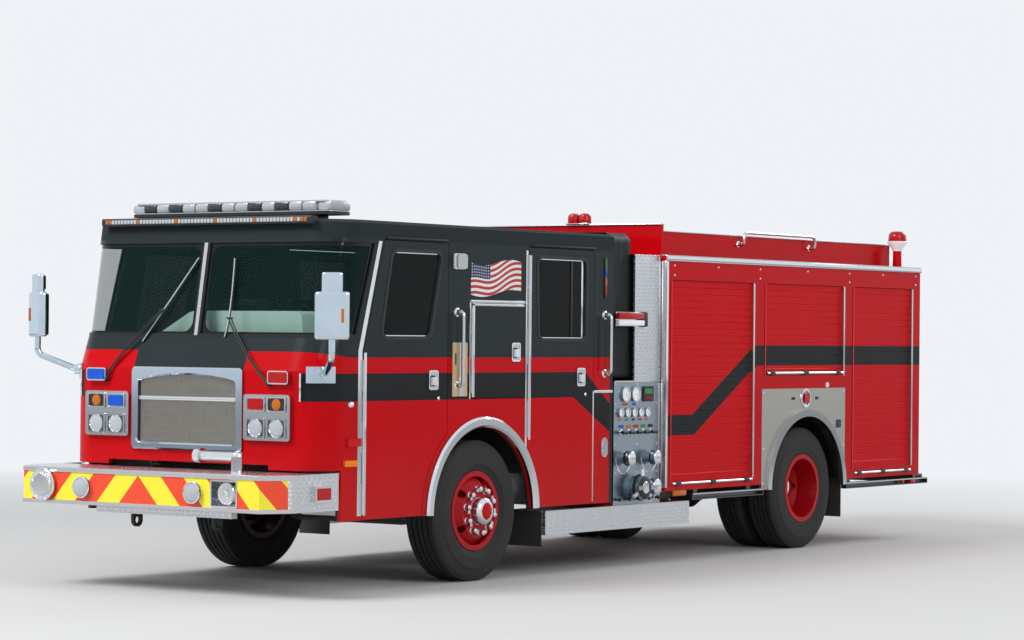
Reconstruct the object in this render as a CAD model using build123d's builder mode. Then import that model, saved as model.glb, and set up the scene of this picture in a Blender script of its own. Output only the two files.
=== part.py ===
from build123d import *
import os

# A custom-cab pumper fire engine. Millimetres, X forward, Y to the left, Z up from the floor.
# The origin is on the floor below the middle of the whole vehicle.

# Overall lengths and axles
wheelbase = 4922
front_overhang = 2540
rear_overhang = 2300
front_axle_x = (wheelbase + rear_overhang - front_overhang) / 2
rear_axle_x = front_axle_x - wheelbase

# Fits between pieces
seat_gap = 0.3
pin_gap = 0.3
running_gap = 5

# Tyres and wheels
tyre_radius = 535
wheel_z = tyre_radius
front_tyre_width = 315
rear_tyre_width = 285
tyre_crown_drop = 30
rim_seat_radius = 286
rim_flange_radius = 302
rim_half_width = 125
rim_flange = 10
rim_inner_radius = 262
disc_thickness = 12
front_disc_offset = 150
front_wheel_y = 1045
dual_centre_y = 920
dual_spacing = 330
nut_circle_radius = 167.5
nut_count = 10
nut_radius = 17
nut_length = 36
hub_radius = 100
spindle_radius = 38
drum_outer_radius = 205
drum_wall = 35

# Front axle and knuckles
kingpin_y = 930
kingpin_radius = 24
kingpin_boss_radius = 45
beam_width = 100
beam_drop_bottom = 400
beam_drop_top = 500
beam_end_bottom = 475
beam_end_top = 595
knuckle_lug = 40

# Chassis frame
rail_outer_y = 432
rail_flange = 89
rail_thickness = 10
frame_bottom = 640
frame_top = 900
rail_end_top = 820
rail_front_x = front_axle_x + 1980
rail_rear_x = rear_axle_x - 2068

# Cab
body_half_width = 1253
cab_half_width = body_half_width - 33
cab_wall = 45
cab_bottom = 528
cab_front_bottom = 891
cab_notch_top = 925
cab_notch_half_width = 770
cab_rear_x = front_axle_x - 1825
cab_corner_radius = 280
roof_joint_z = 2560
pillar_foot_z = 1720
door_hinge_x = front_axle_x + 1452
pillar_top_x = front_axle_x + 1207
# Each section of the cab: height, front face and half width
cab_sections = [
    (cab_bottom, front_axle_x + 1965, cab_half_width),
    (1600, front_axle_x + 1965, cab_half_width),
    (1835, front_axle_x + 1880, cab_half_width),
    (2560, front_axle_x + 1760, cab_half_width),
    (2672, front_axle_x + 1742, cab_half_width),
    (2695, front_axle_x + 1700, cab_half_width - 40),
]
cab_face_x = cab_sections[0][1]

# Cab tilt pivot
tilt_x = front_axle_x + 1870
tilt_z = 945
tilt_y = 400
tilt_pin_radius = 20
tilt_lug_radius = 35
tilt_lug_width = 30
ear_plate = 20

# Wheel arch of the cab
arch_x = front_axle_x - 30
arch_z = 520
arch_inner_radius = 650
arch_outer_radius = 730
arch_trim_depth = 40
arch_door_radius = 765

# Cab doors and their windows
door_gap = 5
door_bottom = 530
door_top = 2554
front_door_rear_x = front_axle_x + 428
crew_door_front_x = front_axle_x - 626
crew_door_rear_x = front_axle_x - 1540
glass_thickness = 6
window_corner = 45
# Window corners as X from the front axle and Z: top front, bottom front, bottom rear, top rear
front_window = [(1110, 2478), (1237, 1850), (649, 1850), (505, 2478)]
crew_window = [(-749, 2478), (-772, 1845), (-1433, 1845), (-1437, 2478)]

# Cab side lockers
locker_front_x = front_axle_x + 125
locker_rear_x = front_axle_x - 578
locker_bottom = 1390
locker_top = 2115
locker_depth = 430
locker_sheet = 15

# Hinges
hinge_radius = 10
hinge_pin_radius = 5
hinge_leaf = 28
hinge_leaf_thickness = 6
hinge_knuckles = 5
hinge_y = cab_half_width + hinge_radius

# Cab floor, tunnel and wheel wells
floor_sheet = 22
floor_z = 960
well_half_length = 720
well_inner_y = 500
well_roof_z = 1190
tunnel_half_width = 470
tunnel_top_z = 1445
tunnel_rear_x = front_axle_x - 620
step_depth = 270
step_z = 550
middle_step_z = 755

# Pump module and body
module_front_x = front_axle_x - 1870
module_rear_x = front_axle_x - 2572
crosslay_rear_x = front_axle_x - 2172
module_half_width = body_half_width - 63
module_bottom = 500
pump_panel_top = 1510
post_top = 2545
body_front_x = module_rear_x - 3
body_rear_x = rear_axle_x - 2160
body_bottom = 592
body_top = 2545
body_wall = 25
body_inner_y = 660
opening_top = 2345
wheel_panel_front_x = rear_axle_x + 774
wheel_panel_rear_x = rear_axle_x - 713
wheel_panel_bottom = 545
wheel_panel_top = 1424
rear_arch_radius = 640
rear_arch_ring = 62
# Roll-up shutters of each side: front X, rear X and bottom Z
shutter_openings = [
    (body_front_x - 70, wheel_panel_front_x + 153, 660),
    (wheel_panel_front_x - 35, wheel_panel_rear_x + 35, 1534),
    (wheel_panel_rear_x - 134, body_rear_x + 160, 680),
]
shutter_pitch = 60
shutter_depth = 18
shutter_recess = 12
shutter_track = 14
shutter_groove = 6

# Hose bed
bed_half_width = 960
bed_wall = 30
bed_floor_z = 2010
bed_top = 2760
bed_front_x = body_front_x
bed_rear_x = body_rear_x + 72
headboard_top = 2800
headboard_half_width = body_half_width - 53


def block(x, y, z, mode=Mode.ADD):
    """A straight block between two corners, in the part that is being built."""
    with Locations(((x[0] + x[1]) / 2, (y[0] + y[1]) / 2, (z[0] + z[1]) / 2)):
        Box(abs(x[1] - x[0]), abs(y[1] - y[0]), abs(z[1] - z[0]), mode=mode)


def side_plane(y):
    """A plane at one Y, drawn in X and Z, whose extrusions go towards the right."""
    return Plane(origin=(0, y, 0), x_dir=(1, 0, 0), z_dir=(0, -1, 0))


def cross_plane(x, y=0, z=0):
    """A plane at one X, drawn in Y and Z, whose extrusions go forward."""
    return Plane(origin=(x, y, z), x_dir=(0, 1, 0), z_dir=(1, 0, 0))


def rod_y(x, z, radius, y, mode=Mode.ADD):
    """A round bar along Y."""
    with Locations(Location((x, (y[0] + y[1]) / 2, z), (90, 0, 0))):
        Cylinder(radius, abs(y[1] - y[0]), mode=mode)


def rod_x(y, z, radius, x, mode=Mode.ADD):
    """A round bar along X."""
    with Locations(Location(((x[0] + x[1]) / 2, y, z), (0, 90, 0))):
        Cylinder(radius, abs(x[1] - x[0]), mode=mode)


def rod_z(x, y, radius, z, mode=Mode.ADD):
    """A round bar along Z."""
    with Locations((x, y, (z[0] + z[1]) / 2)):
        Cylinder(radius, abs(z[1] - z[0]), mode=mode)


def opposite(part):
    """The same piece on the other side of the vehicle."""
    with BuildPart() as other:
        mirror(part, about=Plane.XZ)
    return other.part


def save(part, name):
    """Names one finished piece and writes it."""
    part.label = name
    export_step(part, f"parts/{name}.step")


os.makedirs("parts", exist_ok=True)

# Chassis frame: two channels, cross members and the ears of the cab's tilt pivot
cross_members = [
    front_axle_x + 1940,
    front_axle_x + 1380,
    front_axle_x - 950,
    front_axle_x - 2760,
    rear_axle_x + 722,
    rear_axle_x - 698,
    rear_axle_x - 1978,
]
with BuildPart() as frame_rails:
    with BuildSketch(cross_plane(rail_rear_x)):
        with Locations((rail_outer_y - rail_flange / 2, (frame_bottom + frame_top) / 2)):
            Rectangle(rail_flange, frame_top - frame_bottom)
        with Locations((rail_outer_y - rail_thickness - rail_flange / 2, (frame_bottom + frame_top) / 2)):
            Rectangle(rail_flange, frame_top - frame_bottom - 2 * rail_thickness, mode=Mode.SUBTRACT)
    extrude(amount=rail_front_x - rail_rear_x)
    # The front ends are low, and the ears lean back, so that the tilting cab's front wall passes them
    block(
        (tilt_x + 5, rail_front_x + 1),
        (rail_outer_y - rail_flange - 1, rail_outer_y + 1),
        (rail_end_top, frame_top + 1),
        mode=Mode.SUBTRACT,
    )
    lean = tilt_lug_radius * 0.7071
    for ear_y in (tilt_y + tilt_lug_width / 2 + running_gap + ear_plate, tilt_y - tilt_lug_width / 2 - running_gap):
        with BuildSketch(side_plane(ear_y)):
            with BuildLine():
                Polyline(
                    (tilt_x - tilt_lug_radius, tilt_z),
                    (tilt_x - 115, frame_top),
                    (tilt_x + 2 * lean - (tilt_z - frame_top), frame_top),
                    (tilt_x + lean, tilt_z - lean),
                )
                RadiusArc((tilt_x + lean, tilt_z - lean), (tilt_x, tilt_z + tilt_lug_radius), -tilt_lug_radius)
                RadiusArc((tilt_x, tilt_z + tilt_lug_radius), (tilt_x - tilt_lug_radius, tilt_z), -tilt_lug_radius)
            make_face()
        extrude(amount=ear_plate)
    ear_out = tilt_lug_width / 2 + running_gap + ear_plate
    rod_y(tilt_x, tilt_z, tilt_pin_radius, (tilt_y - ear_out, tilt_y + ear_out))
    rest_x = cab_rear_x + 90
    block((rest_x - 60, rest_x + 60), (rail_outer_y - rail_flange, rail_outer_y + 60), (frame_top, floor_z - seat_gap))
    mirror(about=Plane.XZ)
    for x in cross_members:
        inner = rail_outer_y - rail_thickness
        member_top = (rail_end_top if x > tilt_x else frame_top) - 20
        block((x - 35, x + 35), (-inner, inner), (member_top - 90, member_top))
save(frame_rails.part, "frame_rails")

# Front axle: a dropped beam with a boss for each kingpin
with BuildPart() as front_axle:
    with BuildSketch(cross_plane(front_axle_x - beam_width / 2)):
        with BuildLine():
            Polyline(
                (0, beam_drop_bottom),
                (520, beam_drop_bottom),
                (780, beam_end_bottom),
                (kingpin_y, beam_end_bottom),
                (kingpin_y, beam_end_top),
                (780, beam_end_top),
                (520, beam_drop_top),
                (0, beam_drop_top),
                close=True,
            )
        make_face()
    extrude(amount=beam_width)
    block(
        (front_axle_x - beam_width / 2, front_axle_x - beam_width / 4),
        (0, 780),
        (beam_drop_bottom + 22, beam_drop_top - 22),
        mode=Mode.SUBTRACT,
    )
    block(
        (front_axle_x + beam_width / 4, front_axle_x + beam_width / 2),
        (0, 780),
        (beam_drop_bottom + 22, beam_drop_top - 22),
        mode=Mode.SUBTRACT,
    )
    rod_z(front_axle_x, kingpin_y, kingpin_boss_radius, (beam_end_bottom, beam_end_top))
    rod_z(
        front_axle_x, kingpin_y, kingpin_radius + pin_gap, (beam_end_bottom - 1, beam_end_top + 1), mode=Mode.SUBTRACT
    )
    mirror(about=Plane.XZ)
save(front_axle.part, "front_axle")

# Leaf springs: front packs under the rails, rear packs beside them, each with two hangers
spring_width = 80
rear_spring_y = 512
axle_tube_radius = 60
# Each spring: axle X, middle Y, bottom of the pack at the axle, height of its ends
springs = [
    (front_axle_x, rail_outer_y, beam_drop_top, 575),
    (rear_axle_x, rear_spring_y, wheel_z + axle_tube_radius + 20, 720),
]
spring_half_length = 680
spring_stack = 90
with BuildPart() as leaf_springs:
    for axle_x, middle_y, seat_z, end_z in springs:
        left, right = axle_x - spring_half_length, axle_x + spring_half_length
        with BuildSketch(side_plane(middle_y + spring_width / 2)):
            with BuildLine():
                ThreePointArc((left, end_z), (axle_x, seat_z), (right, end_z))
                Line((right, end_z), (right, end_z + 24))
                ThreePointArc((right, end_z + 24), (axle_x, seat_z + spring_stack), (left, end_z + 24))
                Line((left, end_z + 24), (left, end_z))
            make_face()
        extrude(amount=spring_width)
        for end_x in (left, right):
            rod_y(end_x, end_z + 12, 26, (middle_y - spring_width / 2, middle_y + spring_width / 2))
    # The hangers reach from the spring eyes to the rails
    front_end_z = springs[0][3]
    rear_end_z = springs[1][3]
    for end in (-spring_half_length, spring_half_length):
        x = front_axle_x + end
        block((x - 22, x + 22), (rail_outer_y - spring_width / 2, rail_outer_y), (front_end_z, frame_bottom))
        x = rear_axle_x + end
        block((x - 22, x + 22), (rail_outer_y, rear_spring_y), (rear_end_z - 10, rear_end_z + 60))
    # Each rear pack sits on a pad over the axle tube
    block(
        (rear_axle_x - 90, rear_axle_x + 90),
        (rear_spring_y - spring_width / 2, rear_spring_y + spring_width / 2),
        (wheel_z + axle_tube_radius - 30, springs[1][2] + 12),
    )
    rod_y(
        rear_axle_x,
        wheel_z,
        axle_tube_radius,
        (rear_spring_y - spring_width, rear_spring_y + spring_width),
        mode=Mode.SUBTRACT,
    )
    mirror(about=Plane.XZ)
save(leaf_springs.part, "leaf_springs")

# Rear axle: tubes, banjo housing and pinion nose
axle_end_y = dual_centre_y + 60
banjo_radius = 215
pinion_z = 570
with BuildPart() as rear_axle:
    rod_y(rear_axle_x, wheel_z, axle_tube_radius, (-axle_end_y, axle_end_y))
    with BuildSketch(cross_plane(rear_axle_x, 0, wheel_z)):
        with BuildLine():
            Polyline((-300, 0), (-300, axle_tube_radius + 12), (-120, 170), (-60, banjo_radius), (60, banjo_radius))
            Polyline((60, banjo_radius), (120, 170), (300, axle_tube_radius + 12), (300, 0), (-300, 0))
        make_face()
    revolve(axis=Axis((rear_axle_x, 0, wheel_z), (0, 1, 0)))
    rod_x(0, pinion_z, 85, (rear_axle_x, rear_axle_x + 360))
save(rear_axle.part, "rear_axle")

# Power train: engine, gearbox and pump as plain blocks, with the prop shafts between them
engine_front_x = front_axle_x + 1250
engine_rear_x = front_axle_x - 100
gearbox_rear_x = front_axle_x - 760
engine_half_width = 330
engine_bottom = 620
engine_top = 1380
shaft_radius = 45
shaft_z = 700
pump_front_x = module_front_x - 60
pump_rear_x = module_rear_x + 80
pinion_x = rear_axle_x + 360
with BuildPart() as power_train:
    block(
        (engine_rear_x, engine_front_x),
        (-engine_half_width, engine_half_width),
        (engine_bottom, engine_top),
    )
    block(
        (gearbox_rear_x, engine_rear_x),
        (-engine_half_width + 60, engine_half_width - 60),
        (engine_bottom, frame_top + 20),
    )
    for mount_x in (engine_rear_x + 150, engine_front_x - 150):
        block(
            (mount_x - 50, mount_x + 50),
            (-(rail_outer_y - rail_thickness), rail_outer_y - rail_thickness),
            (frame_top - 190, frame_top - 130),
        )
    block((pump_rear_x, pump_front_x), (-300, 300), (frame_bottom + 20, 1120))
    block((pump_rear_x + 60, pump_front_x - 60), (-1150, 1150), (frame_top, frame_top + 160))
    rod_x(0, shaft_z, shaft_radius, (gearbox_rear_x, pump_front_x))
    shaft_start = Vector(pump_rear_x, 0, shaft_z)
    shaft_end = Vector(pinion_x - 10, 0, pinion_z)
    run = shaft_end - shaft_start
    with BuildSketch(Plane(origin=shaft_start, x_dir=(0, 1, 0), z_dir=run)):
        Circle(shaft_radius)
    extrude(amount=run.length)
    # The last shaft ends flat against the pinion's nose
    add(rear_axle.part, mode=Mode.SUBTRACT)
save(power_train.part, "power_train")

# Radiator in front of the engine, standing on the rails behind the grille
radiator_x = front_axle_x + 1560
radiator_half_width = 420
radiator_top = 1410
with BuildPart() as radiator:
    block(
        (radiator_x - 60, radiator_x + 60),
        (-radiator_half_width, radiator_half_width),
        (frame_top, radiator_top),
    )
    block(
        (radiator_x + 40, radiator_x + 60),
        (-radiator_half_width + 50, radiator_half_width - 50),
        (frame_top + 50, radiator_top - 50),
        mode=Mode.SUBTRACT,
    )
save(radiator.part, "radiator")

# Fuel tank behind the rear axle and air tanks ahead of it, hung under the rails
fuel_tank_x = (rear_axle_x - 1828, rear_axle_x - 1128)
air_tank_x = (rear_axle_x + 1022, rear_axle_x + 1722)
air_tank_radius = 115
with BuildPart() as chassis_tanks:
    block(fuel_tank_x, (-420, 420), (frame_bottom - 240, frame_bottom))
    fillet(chassis_tanks.edges().filter_by(Axis.Y), 60)
    for tank_y in (-rail_outer_y + 60, rail_outer_y - 60):
        rod_x(tank_y, frame_bottom - air_tank_radius - 10, air_tank_radius, air_tank_x)
        for saddle_x in (air_tank_x[0] + 120, air_tank_x[1] - 120):
            block(
                (saddle_x - 20, saddle_x + 20),
                (tank_y - 60, tank_y + 60),
                (frame_bottom - 70, frame_bottom),
            )
save(chassis_tanks.part, "chassis_tanks")

# Knuckles: a forked lug round each axle boss, its kingpin, the spindle and a steering arm
knuckle_gap = running_gap
web_y = (kingpin_y + kingpin_boss_radius + knuckle_gap, kingpin_y + 95)
spindle_end_y = front_wheel_y + 170
with BuildPart() as knuckle_left:
    for low, high in (
        (beam_end_bottom - knuckle_gap - knuckle_lug, beam_end_bottom - knuckle_gap),
        (beam_end_top + knuckle_gap, beam_end_top + knuckle_gap + knuckle_lug),
    ):
        rod_z(front_axle_x, kingpin_y, kingpin_boss_radius, (low, high))
        block((front_axle_x - 45, front_axle_x + 45), (kingpin_y, web_y[1]), (low, high))
    fork_z = (beam_end_bottom - knuckle_gap - knuckle_lug, beam_end_top + knuckle_gap + knuckle_lug)
    rod_z(front_axle_x, kingpin_y, kingpin_radius, fork_z)
    block((front_axle_x - 60, front_axle_x + 60), web_y, fork_z)
    rod_y(front_axle_x, wheel_z, spindle_radius, (web_y[1], spindle_end_y))
    arm_low = fork_z[0]
    with BuildSketch(Plane.XY.offset(arm_low)):
        with BuildLine():
            Polyline(
                (front_axle_x - 45, web_y[1]),
                (front_axle_x - 215, kingpin_y - 10),
                (front_axle_x - 215, kingpin_y - 60),
                (front_axle_x - 30, kingpin_y - 20),
                (front_axle_x - 45, web_y[1]),
            )
        make_face()
    extrude(amount=24)
save(knuckle_left.part, "knuckle_left")
save(opposite(knuckle_left.part), "knuckle_right")


def tyre_solid(axle_x, middle_y, width):
    """A tyre: beads, bulging side walls, shoulders and a crowned tread, turned about Y."""
    half = width / 2
    with BuildPart() as tyre:
        with BuildSketch(cross_plane(axle_x, middle_y, wheel_z)):
            with BuildLine():
                Polyline(
                    (-rim_half_width, rim_seat_radius),
                    (-rim_half_width, rim_flange_radius),
                    (-half, (rim_flange_radius + tyre_radius) / 2 - 10),
                    (-half + 12, tyre_radius - 2 * tyre_crown_drop),
                    (-half + 42, tyre_radius - tyre_crown_drop / 3),
                    (-half / 3, tyre_radius),
                    (half / 3, tyre_radius),
                    (half - 42, tyre_radius - tyre_crown_drop / 3),
                    (half - 12, tyre_radius - 2 * tyre_crown_drop),
                    (half, (rim_flange_radius + tyre_radius) / 2 - 10),
                    (rim_half_width, rim_flange_radius),
                    (rim_half_width, rim_seat_radius),
                    close=True,
                )
            make_face()
        revolve(axis=Axis((axle_x, 0, wheel_z), (0, 1, 0)))
    return tyre.part


def turned(axle_x, middle_y, outlines):
    """Outlines of (Y, radius) points, each turned about the wheel's axis, as one part."""
    with BuildPart() as body:
        for outline in outlines:
            with BuildSketch(cross_plane(axle_x, middle_y, wheel_z)):
                with BuildLine():
                    Polyline(*outline, close=True)
                make_face()
            revolve(axis=Axis((axle_x, 0, wheel_z), (0, 1, 0)))
    return body.part


def barrel(middle):
    """The rim's barrel with both flanges, as an outline about one middle."""
    edge = rim_half_width + rim_flange
    return [
        (middle - edge, rim_inner_radius),
        (middle - edge, rim_flange_radius),
        (middle - rim_half_width, rim_flange_radius),
        (middle - rim_half_width, rim_seat_radius),
        (middle + rim_half_width, rim_seat_radius),
        (middle + rim_half_width, rim_flange_radius),
        (middle + edge, rim_flange_radius),
        (middle + edge, rim_inner_radius),
    ]


def add_nuts(axle_x, y):
    """The ring of wheel nuts, in the part that is being built."""
    with BuildSketch(Plane(origin=(axle_x, y[0], wheel_z), x_dir=(1, 0, 0), z_dir=(0, 1, 0))) as nuts:
        with PolarLocations(nut_circle_radius, nut_count):
            RegularPolygon(nut_radius, 6)
    extrude(nuts.sketch, amount=y[1] - y[0])


def add_hand_holes(axle_x, y, radius, count):
    """The round hand holes through a wheel disc."""
    with Locations(Location((axle_x, (y[0] + y[1]) / 2, wheel_z), (90, 0, 0))):
        with PolarLocations(radius, count, start_angle=180 / count):
            Cylinder(hand_hole_radius, abs(y[1] - y[0]), mode=Mode.SUBTRACT)


hand_hole_radius = 31
hand_hole_circle = 226
hand_hole_count = 5
disc_face = front_disc_offset + disc_thickness
front_wheel_outlines = [
    barrel(0),
    [
        (76, rim_inner_radius + 2),
        (front_disc_offset, 200),
        (front_disc_offset, hub_radius - 5),
        (disc_face, hub_radius - 5),
        (disc_face, 206),
        (94, rim_inner_radius + 2),
    ],
    [
        (-15, spindle_radius + pin_gap),
        (-15, hub_radius),
        (front_disc_offset + 60, hub_radius),
        (front_disc_offset + 75, hub_radius - 20),
        (front_disc_offset + 75, 0),
        (front_disc_offset + 25, 0),
        (front_disc_offset + 25, spindle_radius + pin_gap),
    ],
    [
        (-10, drum_outer_radius - drum_wall),
        (-10, drum_outer_radius),
        (115, drum_outer_radius),
        (115, hub_radius - 5),
        (103, hub_radius - 5),
        (103, drum_outer_radius - drum_wall),
    ],
]
with BuildPart() as wheel_front_left:
    add(turned(front_axle_x, front_wheel_y, front_wheel_outlines))
    add_hand_holes(
        front_axle_x, (front_wheel_y + 60, front_wheel_y + disc_face + 5), hand_hole_circle, hand_hole_count
    )
    add_nuts(front_axle_x, (front_wheel_y + front_disc_offset, front_wheel_y + disc_face + nut_length))
save(wheel_front_left.part, "wheel_front_left")
save(opposite(wheel_front_left.part), "wheel_front_right")

half_spacing = dual_spacing / 2
rear_drum = (-280, -125)
rear_wheel_outlines = [
    barrel(half_spacing),
    barrel(-half_spacing),
    [
        (100, rim_inner_radius + 2),
        (disc_thickness, 206),
        (disc_thickness, hub_radius),
        (0, hub_radius),
        (0, 200),
        (82, rim_inner_radius + 2),
    ],
    [
        (-100, rim_inner_radius + 2),
        (-disc_thickness, 206),
        (-disc_thickness, hub_radius),
        (0, hub_radius),
        (0, 200),
        (-82, rim_inner_radius + 2),
    ],
    [
        (-150, axle_tube_radius + pin_gap),
        (-150, 140),
        (40, 140),
        (95, hub_radius - 10),
        (130, hub_radius - 40),
        (130, 0),
        (70, 0),
        (70, axle_tube_radius + pin_gap),
    ],
    [
        (rear_drum[0], drum_outer_radius - drum_wall),
        (rear_drum[0], drum_outer_radius),
        (rear_drum[1], drum_outer_radius),
        (rear_drum[1], hub_radius),
        (rear_drum[1] - 12, hub_radius),
        (rear_drum[1] - 12, drum_outer_radius - drum_wall),
    ],
]
with BuildPart() as wheel_rear_left:
    add(turned(rear_axle_x, dual_centre_y, rear_wheel_outlines))
    add_hand_holes(rear_axle_x, (dual_centre_y - 110, dual_centre_y + 110), hand_hole_circle, hand_hole_count)
    add_nuts(rear_axle_x, (dual_centre_y, dual_centre_y + disc_thickness + nut_length))
save(wheel_rear_left.part, "wheel_rear_left")
save(opposite(wheel_rear_left.part), "wheel_rear_right")

tyre_front_left = tyre_solid(front_axle_x, front_wheel_y, front_tyre_width)
save(tyre_front_left, "tyre_front_left")
save(opposite(tyre_front_left), "tyre_front_right")
with BuildPart() as tyre_rear_left:
    for offset in (-half_spacing, half_spacing):
        add(tyre_solid(rear_axle_x, dual_centre_y + offset, rear_tyre_width))
save(tyre_rear_left.part, "tyre_rear_left")
save(opposite(tyre_rear_left.part), "tyre_rear_right")

# Bumper: a hollow front with a swept plan, a tread plate deck and a recess for the loudspeaker
deck_thickness = 8
deck_cab_gap = 13
bumper_bottom = 612
bumper_top = cab_front_bottom - deck_cab_gap - deck_thickness
bumper_sheet = 12
bumper_face_x = front_axle_x + 2490
bumper_end_x = front_axle_x + 2280
bumper_side_rear_x = front_axle_x + 1760
bumper_deck_rear_x = front_axle_x + 1990
bumper_half_width = body_half_width - 3
bumper_flat_half = 1125
lower_bar_half_width = 650
lower_bar_height = 66
speaker_y = (688, 922)
speaker_z = (bumper_bottom + 36, bumper_top - 38)
speaker_depth = 120


def bumper_plan(shrink, rear_x):
    """The bumper's plan, drawn in from its outline by one sheet."""
    front = bumper_face_x - shrink
    end = bumper_end_x - shrink
    half = bumper_half_width - shrink
    with BuildSketch(Plane.XY.offset(bumper_bottom)) as plan:
        with BuildLine():
            Polyline(
                (rear_x, -half),
                (end, -half),
                (front, -bumper_flat_half),
                (front, bumper_flat_half),
                (end, half),
                (rear_x, half),
                close=True,
            )
        make_face()
    return plan.sketch


with BuildPart() as bumper:
    extrude(bumper_plan(0, bumper_side_rear_x), amount=bumper_top - bumper_bottom)
    extrude(
        bumper_plan(bumper_sheet, bumper_side_rear_x - 1),
        amount=bumper_top - bumper_bottom,
        mode=Mode.SUBTRACT,
    )
    with BuildSketch(Plane.XY.offset(bumper_top)):
        add(bumper_plan(-4, bumper_side_rear_x).moved(Location((0, 0, bumper_top - bumper_bottom))))
        with Locations(((cab_face_x + bumper_side_rear_x) / 2 + 10, 0)):
            Rectangle(
                bumper_deck_rear_x - bumper_side_rear_x + 5, 2 * (bumper_half_width - 45), mode=Mode.SUBTRACT
            )
    extrude(amount=deck_thickness)
    # The recess for the loudspeaker
    block(
        (bumper_face_x - 2 * bumper_sheet, bumper_face_x + 5),
        speaker_y,
        speaker_z,
        mode=Mode.SUBTRACT,
    )
    with BuildSketch(cross_plane(bumper_face_x - speaker_depth)):
        with Locations(((speaker_y[0] + speaker_y[1]) / 2, (speaker_z[0] + speaker_z[1]) / 2)):
            Rectangle(speaker_y[1] - speaker_y[0] + 12, speaker_z[1] - speaker_z[0] + 12)
            Rectangle(speaker_y[1] - speaker_y[0], speaker_z[1] - speaker_z[0], mode=Mode.SUBTRACT)
    extrude(amount=speaker_depth - bumper_sheet)
    with BuildSketch(cross_plane(bumper_face_x - speaker_depth - 6)):
        with Locations(((speaker_y[0] + speaker_y[1]) / 2, (speaker_z[0] + speaker_z[1]) / 2)):
            Rectangle(speaker_y[1] - speaker_y[0] + 12, speaker_z[1] - speaker_z[0] + 12)
    extrude(amount=6)
    # Lower cross bar under the brackets
    block(
        (bumper_face_x - 330, bumper_face_x - 270),
        (-lower_bar_half_width, lower_bar_half_width),
        (bumper_bottom - lower_bar_height, bumper_bottom),
    )
    # Brackets from the rails' ends to the bumper's face
    for rail_y in (-rail_outer_y + 30, rail_outer_y - 30):
        block(
            (rail_front_x, bumper_face_x - bumper_sheet),
            (rail_y - 30, rail_y + 30),
            (bumper_bottom, bumper_top - 20),
        )
save(bumper.part, "bumper")

# Bumper fittings: siren, round horns, loudspeaker, side lamps, swivel hose outlet and tow eyes
siren_y = -915
siren_radius = 116
horn_y = 530
horn_radius = 80
outlet_x = front_axle_x + 2285
outlet_y = 750
outlet_radius = 42
outlet_rise = 115
outlet_reach = 375
outlet_cap = 50
fitting_z = 748
tow_eye_radius = 28
tow_eye_plate = 26
tow_eye_drop = 105
with BuildPart() as bumper_fittings:
    siren_front_x = front_axle_x + front_overhang
    rod_x(siren_y, fitting_z, siren_radius - 22, (bumper_face_x, bumper_face_x + 20))
    rod_x(siren_y, fitting_z, siren_radius, (bumper_face_x + 10, siren_front_x - 25))
    rod_x(siren_y, fitting_z, siren_radius - 40, (bumper_face_x + 20, siren_front_x))
    for y in (-horn_y, horn_y):
        rod_x(y, fitting_z - 8, horn_radius, (bumper_face_x, bumper_face_x + 18))
        rod_x(y, fitting_z - 8, horn_radius - 18, (bumper_face_x + 18, bumper_face_x + 30))
    rod_x(
        (speaker_y[0] + speaker_y[1]) / 2,
        (speaker_z[0] + speaker_z[1]) / 2,
        78,
        (bumper_face_x - speaker_depth, bumper_face_x - 30),
    )
    for side in (-1, 1):
        side_y = side * bumper_half_width
        block(
            (bumper_side_rear_x + 102, bumper_side_rear_x + 292),
            (side_y, side_y + side * 22),
            (fitting_z - 72, fitting_z + 48),
        )
        # Tow hooks below the bumper's brackets
        hook_x = front_axle_x + 2070
        block(
            (hook_x - 50, hook_x + 50),
            (side * (rail_outer_y - 70), side * (rail_outer_y - 20)),
            (bumper_bottom - 16, bumper_bottom),
        )
        eye_y = side * (rail_outer_y - 45)
        eye_z = bumper_bottom - 16 - tow_eye_drop
        rod_y(hook_x, eye_z, tow_eye_radius + 22, (eye_y - tow_eye_plate / 2, eye_y + tow_eye_plate / 2))
        block(
            (hook_x - tow_eye_radius - 22, hook_x + tow_eye_radius + 22),
            (eye_y - tow_eye_plate / 2, eye_y + tow_eye_plate / 2),
            (eye_z, bumper_bottom - 16),
        )
        rod_y(hook_x, eye_z, tow_eye_radius, (eye_y - tow_eye_plate, eye_y + tow_eye_plate), mode=Mode.SUBTRACT)
    # Swivel outlet on the deck
    deck_top = bumper_top + deck_thickness
    outlet_z = deck_top + outlet_rise
    cap_y = outlet_y - outlet_reach
    rod_z(outlet_x, outlet_y, outlet_radius, (deck_top, outlet_z))
    with Locations((outlet_x, outlet_y, outlet_z)):
        Sphere(outlet_radius)
    rod_y(outlet_x, outlet_z, outlet_radius - 6, (cap_y, outlet_y))
    rod_y(outlet_x, outlet_z, outlet_radius + 12, (cap_y, cap_y + outlet_cap))
save(bumper_fittings.part, "bumper_fittings")


# The cab's form, its openings and the panels that it splits into
def cab_form(shrink, floor_drop=0):
    """The cab's outer form, drawn in by a wall, with its foot lowered to leave it open below."""
    with BuildPart() as form:
        for z, front_x, half in cab_sections:
            foot = z - floor_drop if z == cab_bottom else z
            top = foot if z < roof_joint_z + 1 else foot - shrink
            front = front_x - shrink
            rear = cab_rear_x + shrink
            with BuildSketch(Plane.XY.offset(top)):
                with BuildLine():
                    width = half - shrink
                    radius = cab_corner_radius - shrink
                    Line((rear, -width), (front - radius, -width))
                    RadiusArc((front - radius, -width), (front, radius - width), -radius)
                    Line((front, radius - width), (front, width - radius))
                    RadiusArc((front, width - radius), (front - radius, width), -radius)
                    Line((front - radius, width), (rear, width))
                    Line((rear, width), (rear, -width))
                make_face()
        loft(ruled=True)
    return form.part


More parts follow.
